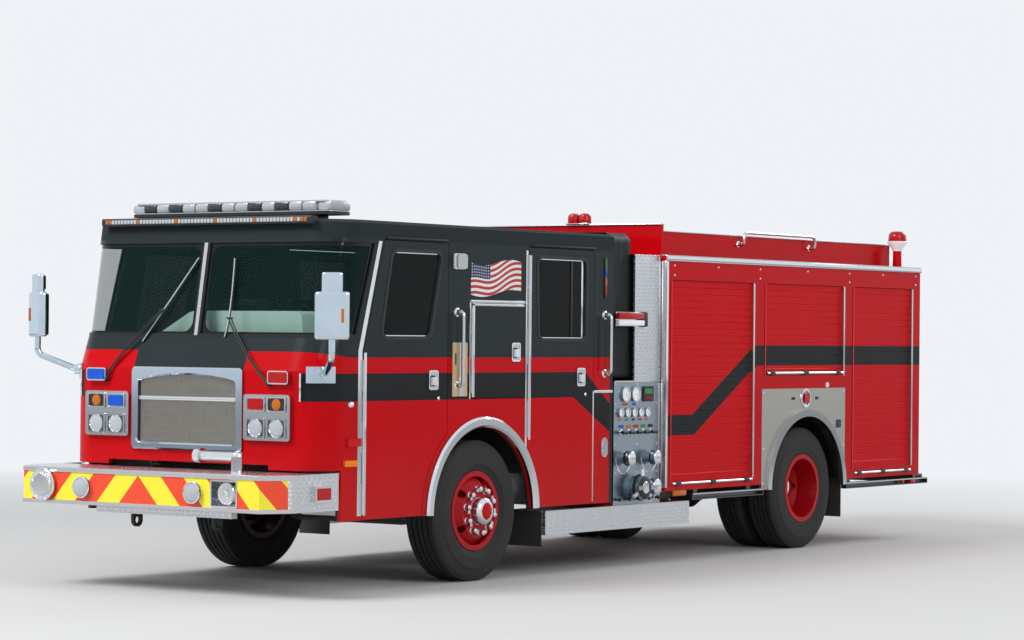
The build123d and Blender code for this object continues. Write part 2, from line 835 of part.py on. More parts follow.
pillar_width = 110
pillar_slope = (door_hinge_x - pillar_top_x) / (door_top - pillar_foot_z)


def pillar_x(z, ahead=0):
    """Where the door's front edge stands at one height, moved ahead of it."""
    return door_hinge_x + ahead - max(0, z - pillar_foot_z) * pillar_slope


def side_shape(points, y, depth):
    """A flat shape seen from the side, as a part between y and y minus depth."""
    with BuildPart() as shape:
        with BuildSketch(side_plane(y)):
            with BuildLine():
                Polyline(*points, close=True)
            make_face()
        extrude(amount=depth)
    return shape.part


def window_part(corners, grow, y, depth):
    """A window's opening or pane: its corners rounded, and its outline moved out by grow."""
    with BuildPart() as pane:
        with BuildSketch(side_plane(y)):
            with BuildLine():
                FilletPolyline(*[(front_axle_x + x, z) for x, z in corners], radius=window_corner, close=True)
            make_face()
            if grow:
                offset(amount=grow)
        extrude(amount=depth)
    return pane.part


def door_part(grow):
    """The left front door's slab, its outline moved out by grow, cut by the wheel arch."""
    with BuildPart() as door:
        with BuildSketch(side_plane(cab_half_width + grow)):
            with BuildLine():
                Polyline(
                    (pillar_x(door_bottom, grow), door_bottom - grow),
                    (pillar_x(pillar_foot_z, grow), pillar_foot_z),
                    (pillar_x(door_top, grow), door_top + grow),
                    (front_door_rear_x - grow, door_top + grow),
                    (front_door_rear_x - grow, door_bottom - grow),
                    close=True,
                )
            make_face()
            with Locations((arch_x, arch_z)):
                Circle(arch_door_radius - grow, mode=Mode.SUBTRACT)
        extrude(amount=cab_wall + 3 * grow)
    return door.part


def crew_door_part(grow):
    """The left crew door's slab, its outline moved out by grow, cut by the wheel arch."""
    with BuildPart() as door:
        with BuildSketch(side_plane(cab_half_width + grow)):
            with BuildLine():
                Polyline(
                    (crew_door_front_x + grow, door_bottom - grow),
                    (crew_door_front_x + grow, door_top + grow),
                    (crew_door_rear_x - grow, door_top + grow),
                    (crew_door_rear_x - grow, door_bottom - grow),
                    close=True,
                )
            make_face()
            with Locations((arch_x, arch_z)):
                Circle(arch_door_radius - grow, mode=Mode.SUBTRACT)
        extrude(amount=cab_wall + 3 * grow)
    return door.part


def locker_door_part(grow):
    """The left side locker's door slab, its outline moved out by grow."""
    points = [
        (locker_front_x + grow, locker_bottom - grow),
        (locker_front_x + grow, locker_top + grow),
        (locker_rear_x - grow, locker_top + grow),
        (locker_rear_x - grow, locker_bottom - grow),
    ]
    return side_shape(points, cab_half_width + grow, cab_wall + 3 * grow)


screen_bottom = 1862
screen_top = 2528
screen_post = 34
screen_points = [
    (front_axle_x + 3000, screen_bottom),
    (pillar_x(screen_bottom, pillar_width + 20), screen_bottom),
    (pillar_x(screen_top, pillar_width), screen_top),
    (front_axle_x + 3000, screen_top),
]
grille_half_width = 470
grille_bottom = 1060
grille_top = 1570
with BuildPart() as cab_shell:
    add(cab_form(0))
    add(cab_form(cab_wall, floor_drop=50), mode=Mode.SUBTRACT)
    # The front wall ends above the bumper, and the corners run lower behind it
    block(
        (front_axle_x + 1700, front_axle_x + 2100),
        (-cab_half_width - 10, cab_half_width + 10),
        (cab_bottom - 100, cab_front_bottom),
        mode=Mode.SUBTRACT,
    )
    # A shallow notch in the middle shows the deck running back below the cab
    block(
        (cab_face_x - 2 * cab_wall, cab_face_x + 50),
        (-cab_notch_half_width, cab_notch_half_width),
        (cab_bottom - 100, cab_notch_top),
        mode=Mode.SUBTRACT,
    )
    add(side_shape(screen_points, cab_half_width + 50, 2 * cab_half_width + 100), mode=Mode.SUBTRACT)
    block(
        (cab_face_x - 2 * cab_wall, cab_face_x + 50),
        (-grille_half_width, grille_half_width),
        (grille_bottom, grille_top),
        mode=Mode.SUBTRACT,
    )
    for side in (1, -1):
        for cut in (door_part(door_gap), crew_door_part(door_gap), locker_door_part(door_gap)):
            add(cut if side == 1 else mirror(cut, about=Plane.XZ, mode=Mode.PRIVATE), mode=Mode.SUBTRACT)
    rod_y(
        arch_x,
        arch_z,
        arch_inner_radius,
        (-cab_half_width - 50, cab_half_width + 50),
        mode=Mode.SUBTRACT,
    )

split_z = roof_joint_z
behind_pillar = [
    (cab_rear_x - 500, cab_bottom - 200),
    (door_hinge_x + door_gap, cab_bottom - 200),
    (pillar_x(pillar_foot_z, door_gap), pillar_foot_z),
    (pillar_x(split_z, door_gap), split_z),
    (cab_rear_x - 500, split_z),
]


def hinge_set(x, z, own, side):
    """Hinge knuckles along a vertical line: own takes the even or the odd ones. Even ones hold the pin."""
    pitch = (z[1] - z[0]) / hinge_knuckles
    for place in range(hinge_knuckles):
        if place % 2 != own:
            continue
        low = z[0] + place * pitch + 0.5
        high = z[0] + (place + 1) * pitch - 0.5
        rod_z(x, hinge_y, hinge_radius, (low, high))
        block(
            (x, x + side * hinge_leaf),
            (cab_half_width, cab_half_width + hinge_leaf_thickness),
            (low, high),
        )
    if own == 0:
        rod_z(x, hinge_y, hinge_pin_radius, (z[0] + 1, z[1] - 1))
    else:
        rod_z(x, hinge_y, hinge_pin_radius + pin_gap, (z[0] - 5, z[1] + 5), mode=Mode.SUBTRACT)


front_hinge = (door_hinge_x + door_gap / 2, (door_bottom + 40, pillar_foot_z - 40))
crew_hinge = (crew_door_front_x + door_gap / 2, (1080, door_top - 60))
locker_hinge = (locker_front_x + door_gap / 2, (locker_bottom + 40, locker_top - 40))

with BuildPart() as cab_roof:
    add(cab_shell.part)
    block((cab_rear_x - 50, front_axle_x + 2100), (-1300, 1300), (split_z, 2800), mode=Mode.INTERSECT)
save(cab_roof.part, "cab_roof")

with BuildPart() as cab_rear:
    add(cab_shell.part)
    block((cab_rear_x, cab_rear_x + cab_wall), (-1300, 1300), (cab_bottom, split_z), mode=Mode.INTERSECT)
    with BuildSketch(cross_plane(cab_rear_x - 10)):
        with Locations((0, 2200)):
            RectangleRounded(900, 380, 50)
    extrude(amount=cab_wall + 20, mode=Mode.SUBTRACT)
    # The chassis passes below the middle of the wall
    block((cab_rear_x - 1, cab_rear_x + cab_wall + 1), (-640, 640), (cab_bottom - 1, floor_z), mode=Mode.SUBTRACT)
save(cab_rear.part, "cab_rear")

with BuildPart() as cab_front:
    add(cab_shell.part)
    add(side_shape(behind_pillar, 1300, 2600), mode=Mode.SUBTRACT)
    block((cab_rear_x, front_axle_x + 2100), (-1300, 1300), (split_z, 2800), mode=Mode.SUBTRACT)
    # Post between the two panes of the windscreen
    with BuildPart(mode=Mode.PRIVATE) as post:
        add(cab_form(0))
        add(cab_form(cab_wall, floor_drop=50), mode=Mode.SUBTRACT)
        block(
            (front_axle_x + 1500, front_axle_x + 2100),
            (-screen_post, screen_post),
            (screen_bottom - 1, screen_top + 1),
            mode=Mode.INTERSECT,
        )
    add(post.part)
    # Tilt lugs behind the front wall
    for side in (-1, 1):
        rod_y(
            tilt_x,
            tilt_z,
            tilt_lug_radius,
            (side * tilt_y - tilt_lug_width / 2, side * tilt_y + tilt_lug_width / 2),
        )
        with BuildSketch(side_plane(side * tilt_y + tilt_lug_width / 2)):
            with BuildLine():
                Polyline(
                    (tilt_x - tilt_lug_radius, tilt_z),
                    (tilt_x - 10, tilt_z + 130),
                    (cab_face_x - cab_wall, tilt_z + 130),
                    (cab_face_x - cab_wall, tilt_z + 10),
                    (tilt_x + tilt_lug_radius, tilt_z),
                    (tilt_x - tilt_lug_radius, tilt_z),
                )
            make_face()
        extrude(amount=tilt_lug_width)
        rod_y(
            tilt_x,
            tilt_z,
            tilt_pin_radius + pin_gap,
            (side * tilt_y - 50, side * tilt_y + 50),
            mode=Mode.SUBTRACT,
        )
with BuildPart() as cab_front_hinged:
    hinge_set(front_hinge[0], front_hinge[1], 0, 1)
    mirror(about=Plane.XZ)
    add(cab_front.part)
save(cab_front_hinged.part, "cab_front")

with BuildPart() as cab_sides:
    add(cab_shell.part)
    add(side_shape(behind_pillar, 1300, 2600), mode=Mode.INTERSECT)
    block((cab_rear_x - 10, cab_rear_x + cab_wall), (-1300, 1300), (cab_bottom - 10, split_z), mode=Mode.SUBTRACT)
with BuildPart() as cab_sides_hinged:
    hinge_set(crew_hinge[0], crew_hinge[1], 0, 1)
    hinge_set(locker_hinge[0], locker_hinge[1], 0, 1)
    mirror(about=Plane.XZ)
    add(cab_sides.part)
save(cab_sides_hinged.part, "cab_sides")


def door_with_window(slab, window, hinge, handle_x, handle_z):
    """A finished door of the left side: slab, window opening, hinge leaves and paddle handle."""
    with BuildPart() as door:
        hinge_set(hinge[0], hinge[1], 1, -1)
        add(slab)
        if window:
            add(window_part(window, 0, cab_half_width + 10, cab_wall + 20), mode=Mode.SUBTRACT)
        block(
            (front_axle_x + handle_x - 55, front_axle_x + handle_x + 55),
            (cab_half_width, cab_half_width + 9),
            (handle_z - 70, handle_z + 70),
        )
        block(
            (front_axle_x + handle_x - 42, front_axle_x + handle_x + 42),
            (cab_half_width + 9, cab_half_width + 20),
            (handle_z - 38, handle_z + 22),
        )
    return door.part


front_door = door_with_window(door_part(0), front_window, front_hinge, 612, 1532)
crew_door = door_with_window(crew_door_part(0), crew_window, crew_hinge, -1353, 1544)
locker_door = door_with_window(locker_door_part(0), None, locker_hinge, -450, 1741)
for name, part in (("front_door", front_door), ("crew_door", crew_door), ("locker_door", locker_door)):
    save(part, f"{name}_left")
    save(opposite(part), f"{name}_right")

pane_inset = 14
for name, window in (("front_door", front_window), ("crew_door", crew_window)):
    pane = window_part(window, 0, cab_half_width - pane_inset, glass_thickness)
    save(pane, f"{name}_glass_left")
    save(opposite(pane), f"{name}_glass_right")

with BuildPart() as windscreen:
    add(cab_form(pane_inset))
    add(cab_form(pane_inset + glass_thickness), mode=Mode.SUBTRACT)
    add(side_shape(screen_points, cab_half_width + 50, 2 * cab_half_width + 100), mode=Mode.INTERSECT)
    block(
        (front_axle_x + 1000, front_axle_x + 2100),
        (-screen_post, screen_post),
        (screen_bottom, screen_top),
        mode=Mode.SUBTRACT,
    )
save(windscreen.part, "windscreen")

# Seats: cushion and back of each. Each row: front X, middle Y and the floor under it
front_seat_y = 745
rear_seat_y = 700
rear_seat_x = front_axle_x - 1260
front_seat_x = front_axle_x + 860
seat_rows = [
    (front_seat_x, front_seat_y, well_roof_z + floor_sheet),
    (front_seat_x, -front_seat_y, well_roof_z + floor_sheet),
    (rear_seat_x, rear_seat_y, floor_z + floor_sheet),
    (rear_seat_x, 0, floor_z + floor_sheet),
    (rear_seat_x, -rear_seat_y, floor_z + floor_sheet),
]
seat_width = 480
seat_length = 470
seat_back = 110
cushion_height = 110
cushion_z = 1400
back_top_z = 2120
with BuildPart() as seats:
    for front_x, middle_y, base_z in seat_rows:
        y = (middle_y - seat_width / 2, middle_y + seat_width / 2)
        block((front_x - seat_length, front_x), y, (cushion_z, cushion_z + cushion_height))
        block((front_x - seat_length, front_x - seat_length + seat_back), y, (cushion_z + cushion_height, back_top_z))
save(seats.part, "seats")

# Cab floor: pans, wheel wells, stepped door wells and the tunnel over the engine
side_inner_y = cab_half_width - cab_wall
well_front_x = front_axle_x + well_half_length
well_rear_x = front_axle_x - well_half_length
front_step_rear_x = well_front_x + floor_sheet
front_step_front_x = front_axle_x + 1425
crew_step_front_x = well_rear_x - floor_sheet
crew_step_rear_x = front_axle_x - 1560
pan_rear_x = cab_rear_x + cab_wall
pan_front_x = cab_face_x - cab_wall


def stair(x):
    """A stepped door well of the left side, as a bent sheet between two X."""
    first = side_inner_y - step_depth
    second = first - step_depth + 50
    with BuildPart() as flight:
        with BuildSketch(cross_plane(x[0])):
            with BuildLine():
                Polyline(
                    (side_inner_y, step_z),
                    (first - floor_sheet, step_z),
                    (first - floor_sheet, middle_step_z),
                    (second - floor_sheet, middle_step_z),
                    (second - floor_sheet, floor_z + floor_sheet),
                    (second, floor_z + floor_sheet),
                    (second, middle_step_z + floor_sheet),
                    (first, middle_step_z + floor_sheet),
                    (first, step_z + floor_sheet),
                    (side_inner_y, step_z + floor_sheet),
                    close=True,
                )
            make_face()
        extrude(amount=x[1] - x[0])
    return flight.part


stair_inner_y = side_inner_y - 2 * step_depth + 50 - floor_sheet
with BuildPart() as cab_floor:
    pan = (floor_z, floor_z + floor_sheet)
    inner = tunnel_half_width
    # Pans: front foot area, beside the front steps, crew area
    block((front_step_front_x, pan_front_x), (inner, side_inner_y - 130), pan)
    block((well_front_x, front_step_front_x), (inner, stair_inner_y + floor_sheet), pan)
    block((crew_step_rear_x, crew_step_front_x), (inner - 1, stair_inner_y + floor_sheet), pan)
    block((pan_rear_x, crew_step_rear_x), (0, side_inner_y), pan)
    block((crew_step_rear_x, tunnel_rear_x), (0, inner), pan)
    add(stair((front_step_rear_x, front_step_front_x)))
    add(stair((crew_step_rear_x, crew_step_front_x)))
    # End walls of the door wells
    for wall_x in (front_step_front_x, crew_step_rear_x - floor_sheet):
        block((wall_x, wall_x + floor_sheet), (stair_inner_y, side_inner_y), (step_z, floor_z + floor_sheet))
    # Wheel well
    for wall_x in (well_front_x, crew_step_front_x):
        block((wall_x, wall_x + floor_sheet), (well_inner_y, side_inner_y), (step_z, well_roof_z + floor_sheet))
    block(
        (well_rear_x - floor_sheet, front_step_rear_x),
        (inner, side_inner_y),
        (well_roof_z, well_roof_z + floor_sheet),
    )
    block(
        (well_rear_x - floor_sheet, front_step_rear_x),
        (inner, inner + floor_sheet),
        (floor_z, well_roof_z + floor_sheet),
    )
    # Tunnel: side wall, half of its roof and of its rear wall
    block(
        (tunnel_rear_x, pan_front_x),
        (inner, inner + floor_sheet),
        (floor_z, tunnel_top_z + floor_sheet),
    )
    block((tunnel_rear_x, pan_front_x), (0, inner), (tunnel_top_z, tunnel_top_z + floor_sheet))
    block((tunnel_rear_x, tunnel_rear_x + floor_sheet), (0, inner), (floor_z, tunnel_top_z + floor_sheet))
    # Boxes under the seats
    for front_x, middle_y, base_z in seat_rows:
        if middle_y < 0:
            continue
        y = (max(0, middle_y - seat_width / 2 + 60), middle_y + seat_width / 2 - 60)
        x = (front_x - seat_length + 30, min(front_x - 40, front_step_rear_x if front_x > front_axle_x else front_x - 40))
        block(x, y, (base_z, cushion_z - seat_gap))
    mirror(about=Plane.XZ)
    add(cab_form(cab_wall, floor_drop=50), mode=Mode.INTERSECT)
save(cab_floor.part, "cab_floor")

# Boxes of the two side lockers inside the cab walls
with BuildPart() as locker_boxes:
    outer_y = side_inner_y
    sheet = locker_sheet
    block(
        (locker_rear_x - 2 * door_gap - sheet, locker_front_x + 2 * door_gap + sheet),
        (outer_y - locker_depth, outer_y),
        (locker_bottom - 2 * door_gap - sheet, locker_top + 2 * door_gap + sheet),
    )
    block(
        (locker_rear_x - 2 * door_gap, locker_front_x + 2 * door_gap),
        (outer_y - locker_depth + sheet, outer_y + 1),
        (locker_bottom - 2 * door_gap, locker_top + 2 * door_gap),
        mode=Mode.SUBTRACT,
    )
    mirror(about=Plane.XZ)
save(locker_boxes.part, "locker_boxes")

# Dashboard across the front wall, with the steering column
wheel_hub = Vector(front_axle_x + 1230, front_seat_y, 1490)
column_direction = Vector(-0.45, 0, 0.893).normalized()
column_radius = 35
hub_depth = 18
column_length = 420
dash_rear_x = front_axle_x + 1500
dash_points = [
    (cab_face_x, 1250),
    (dash_rear_x + 60, 1250),
    (dash_rear_x, 1420),
    (dash_rear_x + 60, 1560),
    (front_axle_x + 1830, 1640),
    (cab_face_x - cab_wall - 60, 1600),
    (cab_face_x, 1590),
]
dash_half_width = side_inner_y - 240
with BuildPart() as dashboard:
    add(side_shape(dash_points, dash_half_width, 2 * dash_half_width))
    block(
        (dash_rear_x - 10, cab_face_x),
        (-tunnel_half_width - floor_sheet, tunnel_half_width + floor_sheet),
        (1200, tunnel_top_z + floor_sheet),
        mode=Mode.SUBTRACT,
    )
    column_foot = wheel_hub - column_direction * column_length
    with BuildSketch(Plane(origin=column_foot, z_dir=column_direction)):
        Circle(column_radius)
    extrude(amount=column_length - 45)
    with BuildSketch(Plane(origin=column_foot, z_dir=column_direction)):
        Circle(column_radius - 12)
    extrude(amount=column_length - hub_depth - seat_gap)
    block(
        (column_foot.X - 60, dash_rear_x + 80),
        (wheel_hub.Y - 45, wheel_hub.Y + 45),
        (column_foot.Z - 10, column_foot.Z + 90),
    )
    # Pedestal from the floor to the column's foot
    block(
        (column_foot.X - 60, column_foot.X + 40),
        (wheel_hub.Y - 40, wheel_hub.Y + 40),
        (floor_z + floor_sheet, column_foot.Z),
    )
    add(cab_form(cab_wall, floor_drop=50), mode=Mode.INTERSECT)
save(dashboard.part, "dashboard")

steering_wheel_radius = 225
steering_rim_radius = 16
with BuildPart(Plane(origin=wheel_hub, x_dir=(0, 1, 0), z_dir=column_direction)) as steering_wheel:
    Torus(steering_wheel_radius, steering_rim_radius)
    Cylinder(45, 2 * hub_depth)
    with PolarLocations(steering_wheel_radius / 2, 3, start_angle=90):
        Box(steering_wheel_radius, 30, 10)
save(steering_wheel.part, "steering_wheel")

# Grille: a bevelled frame with louvres and uprights behind it
grille_frame = 62
grille_proud = 30
louvre_count = 9
upright_count = 7
grille_z = (grille_bottom - 50, grille_top + 45)
arch_side_z = grille_top - 58
grille_y = grille_half_width + grille_frame
with BuildPart() as grille:
    with BuildSketch(cross_plane(cab_face_x)) as frame_face:
        with Locations((0, (grille_z[0] + grille_z[1]) / 2)):
            RectangleRounded(2 * grille_y, grille_z[1] - grille_z[0], 30)
        with BuildSketch(cross_plane(cab_face_x), mode=Mode.PRIVATE) as grille_hole:
            with BuildLine():
                Polyline(
                    (grille_half_width, arch_side_z),
                    (grille_half_width, grille_bottom + 3),
                    (-grille_half_width, grille_bottom + 3),
                    (-grille_half_width, arch_side_z),
                )
                ThreePointArc(
                    (-grille_half_width, arch_side_z),
                    (0, grille_top - 8),
                    (grille_half_width, arch_side_z),
                )
            make_face()
            fillet(grille_hole.vertices(), 22)
        add(grille_hole.sketch_local, mode=Mode.SUBTRACT)
    extrude(amount=grille_proud)
    chamfer(grille.faces().sort_by(Axis.X)[-1].edges(), 12)
    mesh_y = grille_half_width - 2
    mesh_z = (grille_bottom + 4, grille_top - 4)
    pitch = (mesh_z[1] - mesh_z[0]) / louvre_count
    for place in range(louvre_count):
        low = mesh_z[0] + place * pitch
        with BuildSketch(side_plane(mesh_y)):
            with BuildLine():
                Polyline(
                    (cab_face_x - 30, low),
                    (cab_face_x - 2, low + pitch * 0.25),
                    (cab_face_x - 2, low + pitch * 0.45),
                    (cab_face_x - 30, low + pitch * 0.2),
                    close=True,
                )
            make_face()
        extrude(amount=2 * mesh_y)
    for place in range(upright_count):
        y = -mesh_y + (place + 0.5) * 2 * mesh_y / upright_count
        block((cab_face_x - 34, cab_face_x - 22), (y - 5, y + 5), mesh_z)
    for edge_y in (-mesh_y, mesh_y - 12):
        block((cab_face_x - 34, cab_face_x), (edge_y, edge_y + 12), (mesh_z[0] - 2, mesh_z[1] + 2))
    block((cab_face_x - 20, cab_face_x + 6), (-mesh_y, mesh_y), (1375, 1397))
save(grille.part, "grille")

# Head lamps: a bezel of four lamps each side, a single lamp above and the marker on the corner
bezel_y = (555, 985)
bezel_z = (1100, 1430)
bezel_depth = 32
lamp_rows = [(1188, 150, 118), (1360, 150, 92)]
single_lamp_y = 875
single_lamp_z = 1553
with BuildPart() as head_lamps:
    with BuildSketch(cross_plane(cab_face_x - 4)):
        with Locations(((bezel_y[0] + bezel_y[1]) / 2, (bezel_z[0] + bezel_z[1]) / 2)):
            RectangleRounded(bezel_y[1] - bezel_y[0], bezel_z[1] - bezel_z[0], 24)
    extrude(amount=bezel_depth)
    for lamp_z, width, height in lamp_rows:
        for lamp_y in (673, 867):
            with BuildSketch(cross_plane(cab_face_x + bezel_depth - 4)):
                with Locations((lamp_y, lamp_z)):
                    RectangleRounded(width + 12, height + 12, 14)
                    RectangleRounded(width, height, 10, mode=Mode.SUBTRACT)
            extrude(amount=10)
            block(
                (cab_face_x + bezel_depth - 18, cab_face_x + bezel_depth),
                (lamp_y - width / 2, lamp_y + width / 2),
                (lamp_z - height / 2, lamp_z + height / 2),
            )
    # The single warning lamp above
    with BuildSketch(cross_plane(cab_face_x - 4)):
        with Locations((single_lamp_y, single_lamp_z)):
            RectangleRounded(190, 96, 20)
    extrude(amount=36)
    # Corner marker lamps low on the cab's side
    for marker_x, marker_z, length, height in ((1560, 1090, 150, 60), (1600, 940, 140, 45)):
        block(
            (front_axle_x + marker_x - length / 2, front_axle_x + marker_x + length / 2),
            (cab_half_width - 2, cab_half_width + 16),
            (marker_z - height / 2, marker_z + height / 2),
        )
    # The front wall's own solid is cut away from what sinks into it
    add(cab_form(0), mode=Mode.SUBTRACT)
    mirror(about=Plane.XZ)
save(head_lamps.part, "head_lamps")

# Lamp bars: the long bar on the roof and the lamp strip over the windscreen
roof_top = cab_sections[-1][0]
bar_x = front_axle_x + 1400
bar_half_length = 970
bar_half_width = 150
bar_z = (2735, 2840)
brow_x = front_axle_x + 1748
brow_half_length = 1010
with BuildPart() as lamp_bars:
    with BuildSketch(Plane.XY.offset(bar_z[0])):
        with Locations((bar_x, 0)):
            RectangleRounded(2 * bar_half_width, 2 * bar_half_length, 70)
    extrude(amount=bar_z[1] - bar_z[0])
    chamfer(lamp_bars.faces().sort_by(Axis.Z)[-1].edges(), 22)
    for foot_y in (-720, 0, 720):
        block((bar_x - 90, bar_x + 90), (foot_y - 45, foot_y + 45), (roof_top, bar_z[0]))
    brow_points = [
        (brow_x - 38, roof_top - 40),
        (brow_x - 38, roof_top + 22),
        (brow_x + 36, roof_top + 22),
        (brow_x + 62, roof_top - 8),
        (brow_x + 52, roof_top - 40),
    ]
    with BuildPart(mode=Mode.PRIVATE) as brow:
        add(side_shape(brow_points, brow_half_length, 2 * brow_half_length))
        add(cab_form(0), mode=Mode.SUBTRACT)
    add(brow.part)
save(lamp_bars.part, "lamp_bars")

# Mirrors: a stepped head on a bent arm from a curved plate on each front corner of the cab
mirror_x = front_axle_x + 2060
mirror_y = 1415
mirror_turn = 25
mirror_width = 250
mirror_depth = 72
mirror_bottom = 1825
mirror_step = 2165
mirror_cap_width = 150
mirror_cap_depth = 58
mirror_top = 2300
mirror_edge = 22
arm_radius = 24
arm_bend_z = 1700
mount_plate = 14
mount_plate_z = (1516, 1634)
mount_plate_turn = (30, 73)
mount_boss_turn = 56
mount_boss_z = 1585
mount_boss_radius = 38
mount_boss_length = 40
corner_x = cab_face_x - cab_corner_radius
corner_y = cab_half_width - cab_corner_radius
with BuildPart() as mirrors:
    with BuildSketch(Plane.XY.offset(mirror_bottom)):
        with Locations(Location((mirror_x, mirror_y, 0), (0, 0, mirror_turn))):
            RectangleRounded(mirror_depth, mirror_width, mirror_edge + 8)
    extrude(amount=mirror_step - mirror_bottom)
    fillet(mirrors.edges().group_by(Axis.Z)[-1], mirror_edge)
    fillet(mirrors.edges().group_by(Axis.Z)[0], mirror_edge)
    with BuildSketch(Plane.XY.offset(mirror_step - mirror_edge)):
        with Locations(Location((mirror_x, mirror_y, 0), (0, 0, mirror_turn))):
            RectangleRounded(mirror_cap_depth, mirror_cap_width, mirror_edge)
    extrude(amount=mirror_top - mirror_step + mirror_edge)
    fillet(mirrors.edges().group_by(Axis.Z)[-1], mirror_edge - 6)
    outward = Vector(1, 0, 0).rotate(Axis.Z, mount_boss_turn)
    boss_foot = Vector(corner_x, corner_y, mount_boss_z) + outward * (cab_corner_radius + mount_plate / 2)
    arm_foot = boss_foot + outward * (mount_boss_length - 12)
    with BuildPart(mode=Mode.PRIVATE) as arm:
        with BuildLine() as arm_path:
            FilletPolyline(
                arm_foot,
                (mirror_x, mirror_y, arm_bend_z),
                (mirror_x, mirror_y, mirror_bottom + 5),
                radius=60,
            )
        with BuildSketch(Plane(origin=arm_path.line @ 0, z_dir=arm_path.line % 0)):
            Circle(arm_radius)
        sweep(path=arm_path.line)
    add(arm.part)
    with BuildSketch(Plane(origin=boss_foot, z_dir=outward)):
        Circle(mount_boss_radius)
    extrude(amount=mount_boss_length)
    with BuildSketch(Plane.XY.offset(mount_plate_z[0])):
        with BuildLine():
            inner = cab_corner_radius + seat_gap
            outer = cab_corner_radius + mount_plate
            turns = (mount_plate_turn[0], mount_plate_turn[1] - mount_plate_turn[0])
            inner_arc = CenterArc((corner_x, corner_y), inner, *turns)
            outer_arc = CenterArc((corner_x, corner_y), outer, *turns)
            Line(inner_arc @ 0, outer_arc @ 0)
            Line(inner_arc @ 1, outer_arc @ 1)
        make_face()
    extrude(amount=mount_plate_z[1] - mount_plate_z[0])
    mirror(about=Plane.XZ)
save(mirrors.part, "mirrors")

# Arch trims: bright half rings round the front wheel openings
with BuildPart() as arch_trims:
    with BuildSketch(side_plane(cab_half_width + arch_trim_depth)):
        with Locations((arch_x, arch_z)):
            Circle(arch_outer_radius)
            Circle(arch_inner_radius, mode=Mode.SUBTRACT)
        with Locations((arch_x, arch_z - 1000 + (cab_bottom - arch_z))):
            Rectangle(3000, 2000, mode=Mode.SUBTRACT)
    extrude(amount=arch_trim_depth)
    chamfer(arch_trims.faces().sort_by(Axis.Y)[-1].edges().filter_by(GeomType.CIRCLE), 16)
    mirror(about=Plane.XZ)
save(arch_trims.part, "arch_trims")

# Grab rails beside the cab doors: X from the front axle, and bottom and top Z
rail_rows = [(316, 1470, 2060), (-1700, 1550, 2060)]
rail_radius = 15
rail_stand = 62
with BuildPart() as grab_rails:
    for x, low, high in rail_rows:
        rail_x = front_axle_x + x
        with BuildPart(mode=Mode.PRIVATE) as rail:
            with BuildLine() as path:
                FilletPolyline(
                    (rail_x, cab_half_width, low + 20),
                    (rail_x, cab_half_width + rail_stand, low + 20),
                    (rail_x, cab_half_width + rail_stand, high - 20),
                    (rail_x, cab_half_width, high - 20),
                    radius=30,
                )
            with BuildSketch(Plane(origin=path.line @ 0, z_dir=path.line % 0)):
                Circle(rail_radius)
            sweep(path=path.line)
        add(rail.part)
        for end_z in (low + 20, high - 20):
            rod_y(rail_x, end_z, 30, (cab_half_width, cab_half_width + 8))
    block(
        (front_axle_x + 225, front_axle_x + 290),
        (cab_half_width, cab_half_width + 10),
        (1410, 1810),
    )
    mirror(about=Plane.XZ)
save(grab_rails.part, "grab_rails")

# Pump module: bulkheads, deck and the crosslay bed between the cab and the body
sheet = 12
crosslay_wall_top = 2700
half = module_half_width
with BuildPart() as pump_module:
    block((module_rear_x, module_front_x), (-half, half), (module_bottom, pump_panel_top))
    block(
        (module_rear_x + sheet, module_front_x - sheet),
        (-half - 1, half + 1),
        (module_bottom - 1, pump_panel_top - sheet),
        mode=Mode.SUBTRACT,
    )
    # The rails pass through both bulkheads, with the prop shaft between them
    block(
        (module_rear_x - 1, module_front_x + 1),
        (-rail_outer_y - seat_gap, rail_outer_y + seat_gap),
        (module_bottom - 1, frame_top + seat_gap),
        mode=Mode.SUBTRACT,
    )
    # Crosslay bed above the deck and the compartment behind it
    wall_half = half - 120
    block((crosslay_rear_x - sheet, crosslay_rear_x), (-half, half), (pump_panel_top, post_top))
    block((crosslay_rear_x - sheet, crosslay_rear_x), (-wall_half, wall_half), (post_top, crosslay_wall_top))
    block((module_front_x - sheet, module_front_x), (-wall_half, wall_half), (pump_panel_top, crosslay_wall_top))
    block((module_rear_x, module_rear_x + sheet), (-half, half), (pump_panel_top, post_top))
    block((module_rear_x, crosslay_rear_x), (-half, half), (post_top - sheet, post_top))
    block((crosslay_rear_x, module_front_x), (-wall_half, wall_half), (1960, 1960 + sheet))
save(pump_module.part, "pump_module")

# Vinyl cover over the crosslay bed, with a flap down each end
cover_top = 2740
cover_thickness = 10
flap_bottom = pump_panel_top + 15
with BuildPart() as crosslay_cover:
    with BuildSketch(cross_plane(crosslay_rear_x)):
        with BuildLine():
            outer = half - 20
            Polyline(
                (-outer, flap_bottom),
                (-outer, cover_top - 60),
                (-outer + 60, cover_top),
                (outer - 60, cover_top),
                (outer, cover_top - 60),
                (outer, flap_bottom),
                (outer - cover_thickness, flap_bottom),
                (outer - cover_thickness, cover_top - 64),
                (outer - 64, cover_top - cover_thickness),
                (-outer + 64, cover_top - cover_thickness),
                (-outer + cover_thickness, cover_top - 64),
                (-outer + cover_thickness, flap_bottom),
                close=True,
            )
        make_face()
    extrude(amount=module_front_x - crosslay_rear_x)
save(crosslay_cover.part, "crosslay_cover")

# Pump panels: a plate each side with intakes, outlets, gauges and valve handles
panel_y = (half, half + 14)
panel_face = panel_y[1]
intake_x = front_axle_x - 2160
intake_z = 640
# Each gauge: X from the front axle, Z and radius
gauges = [
    (-2030, 1400, 62),
    (-2180, 1400, 62),
    (-1960, 1250, 38),
    (-2060, 1250, 38),
    (-2160, 1250, 38),
    (-2260, 1250, 38),
    (-2360, 1250, 38),
]
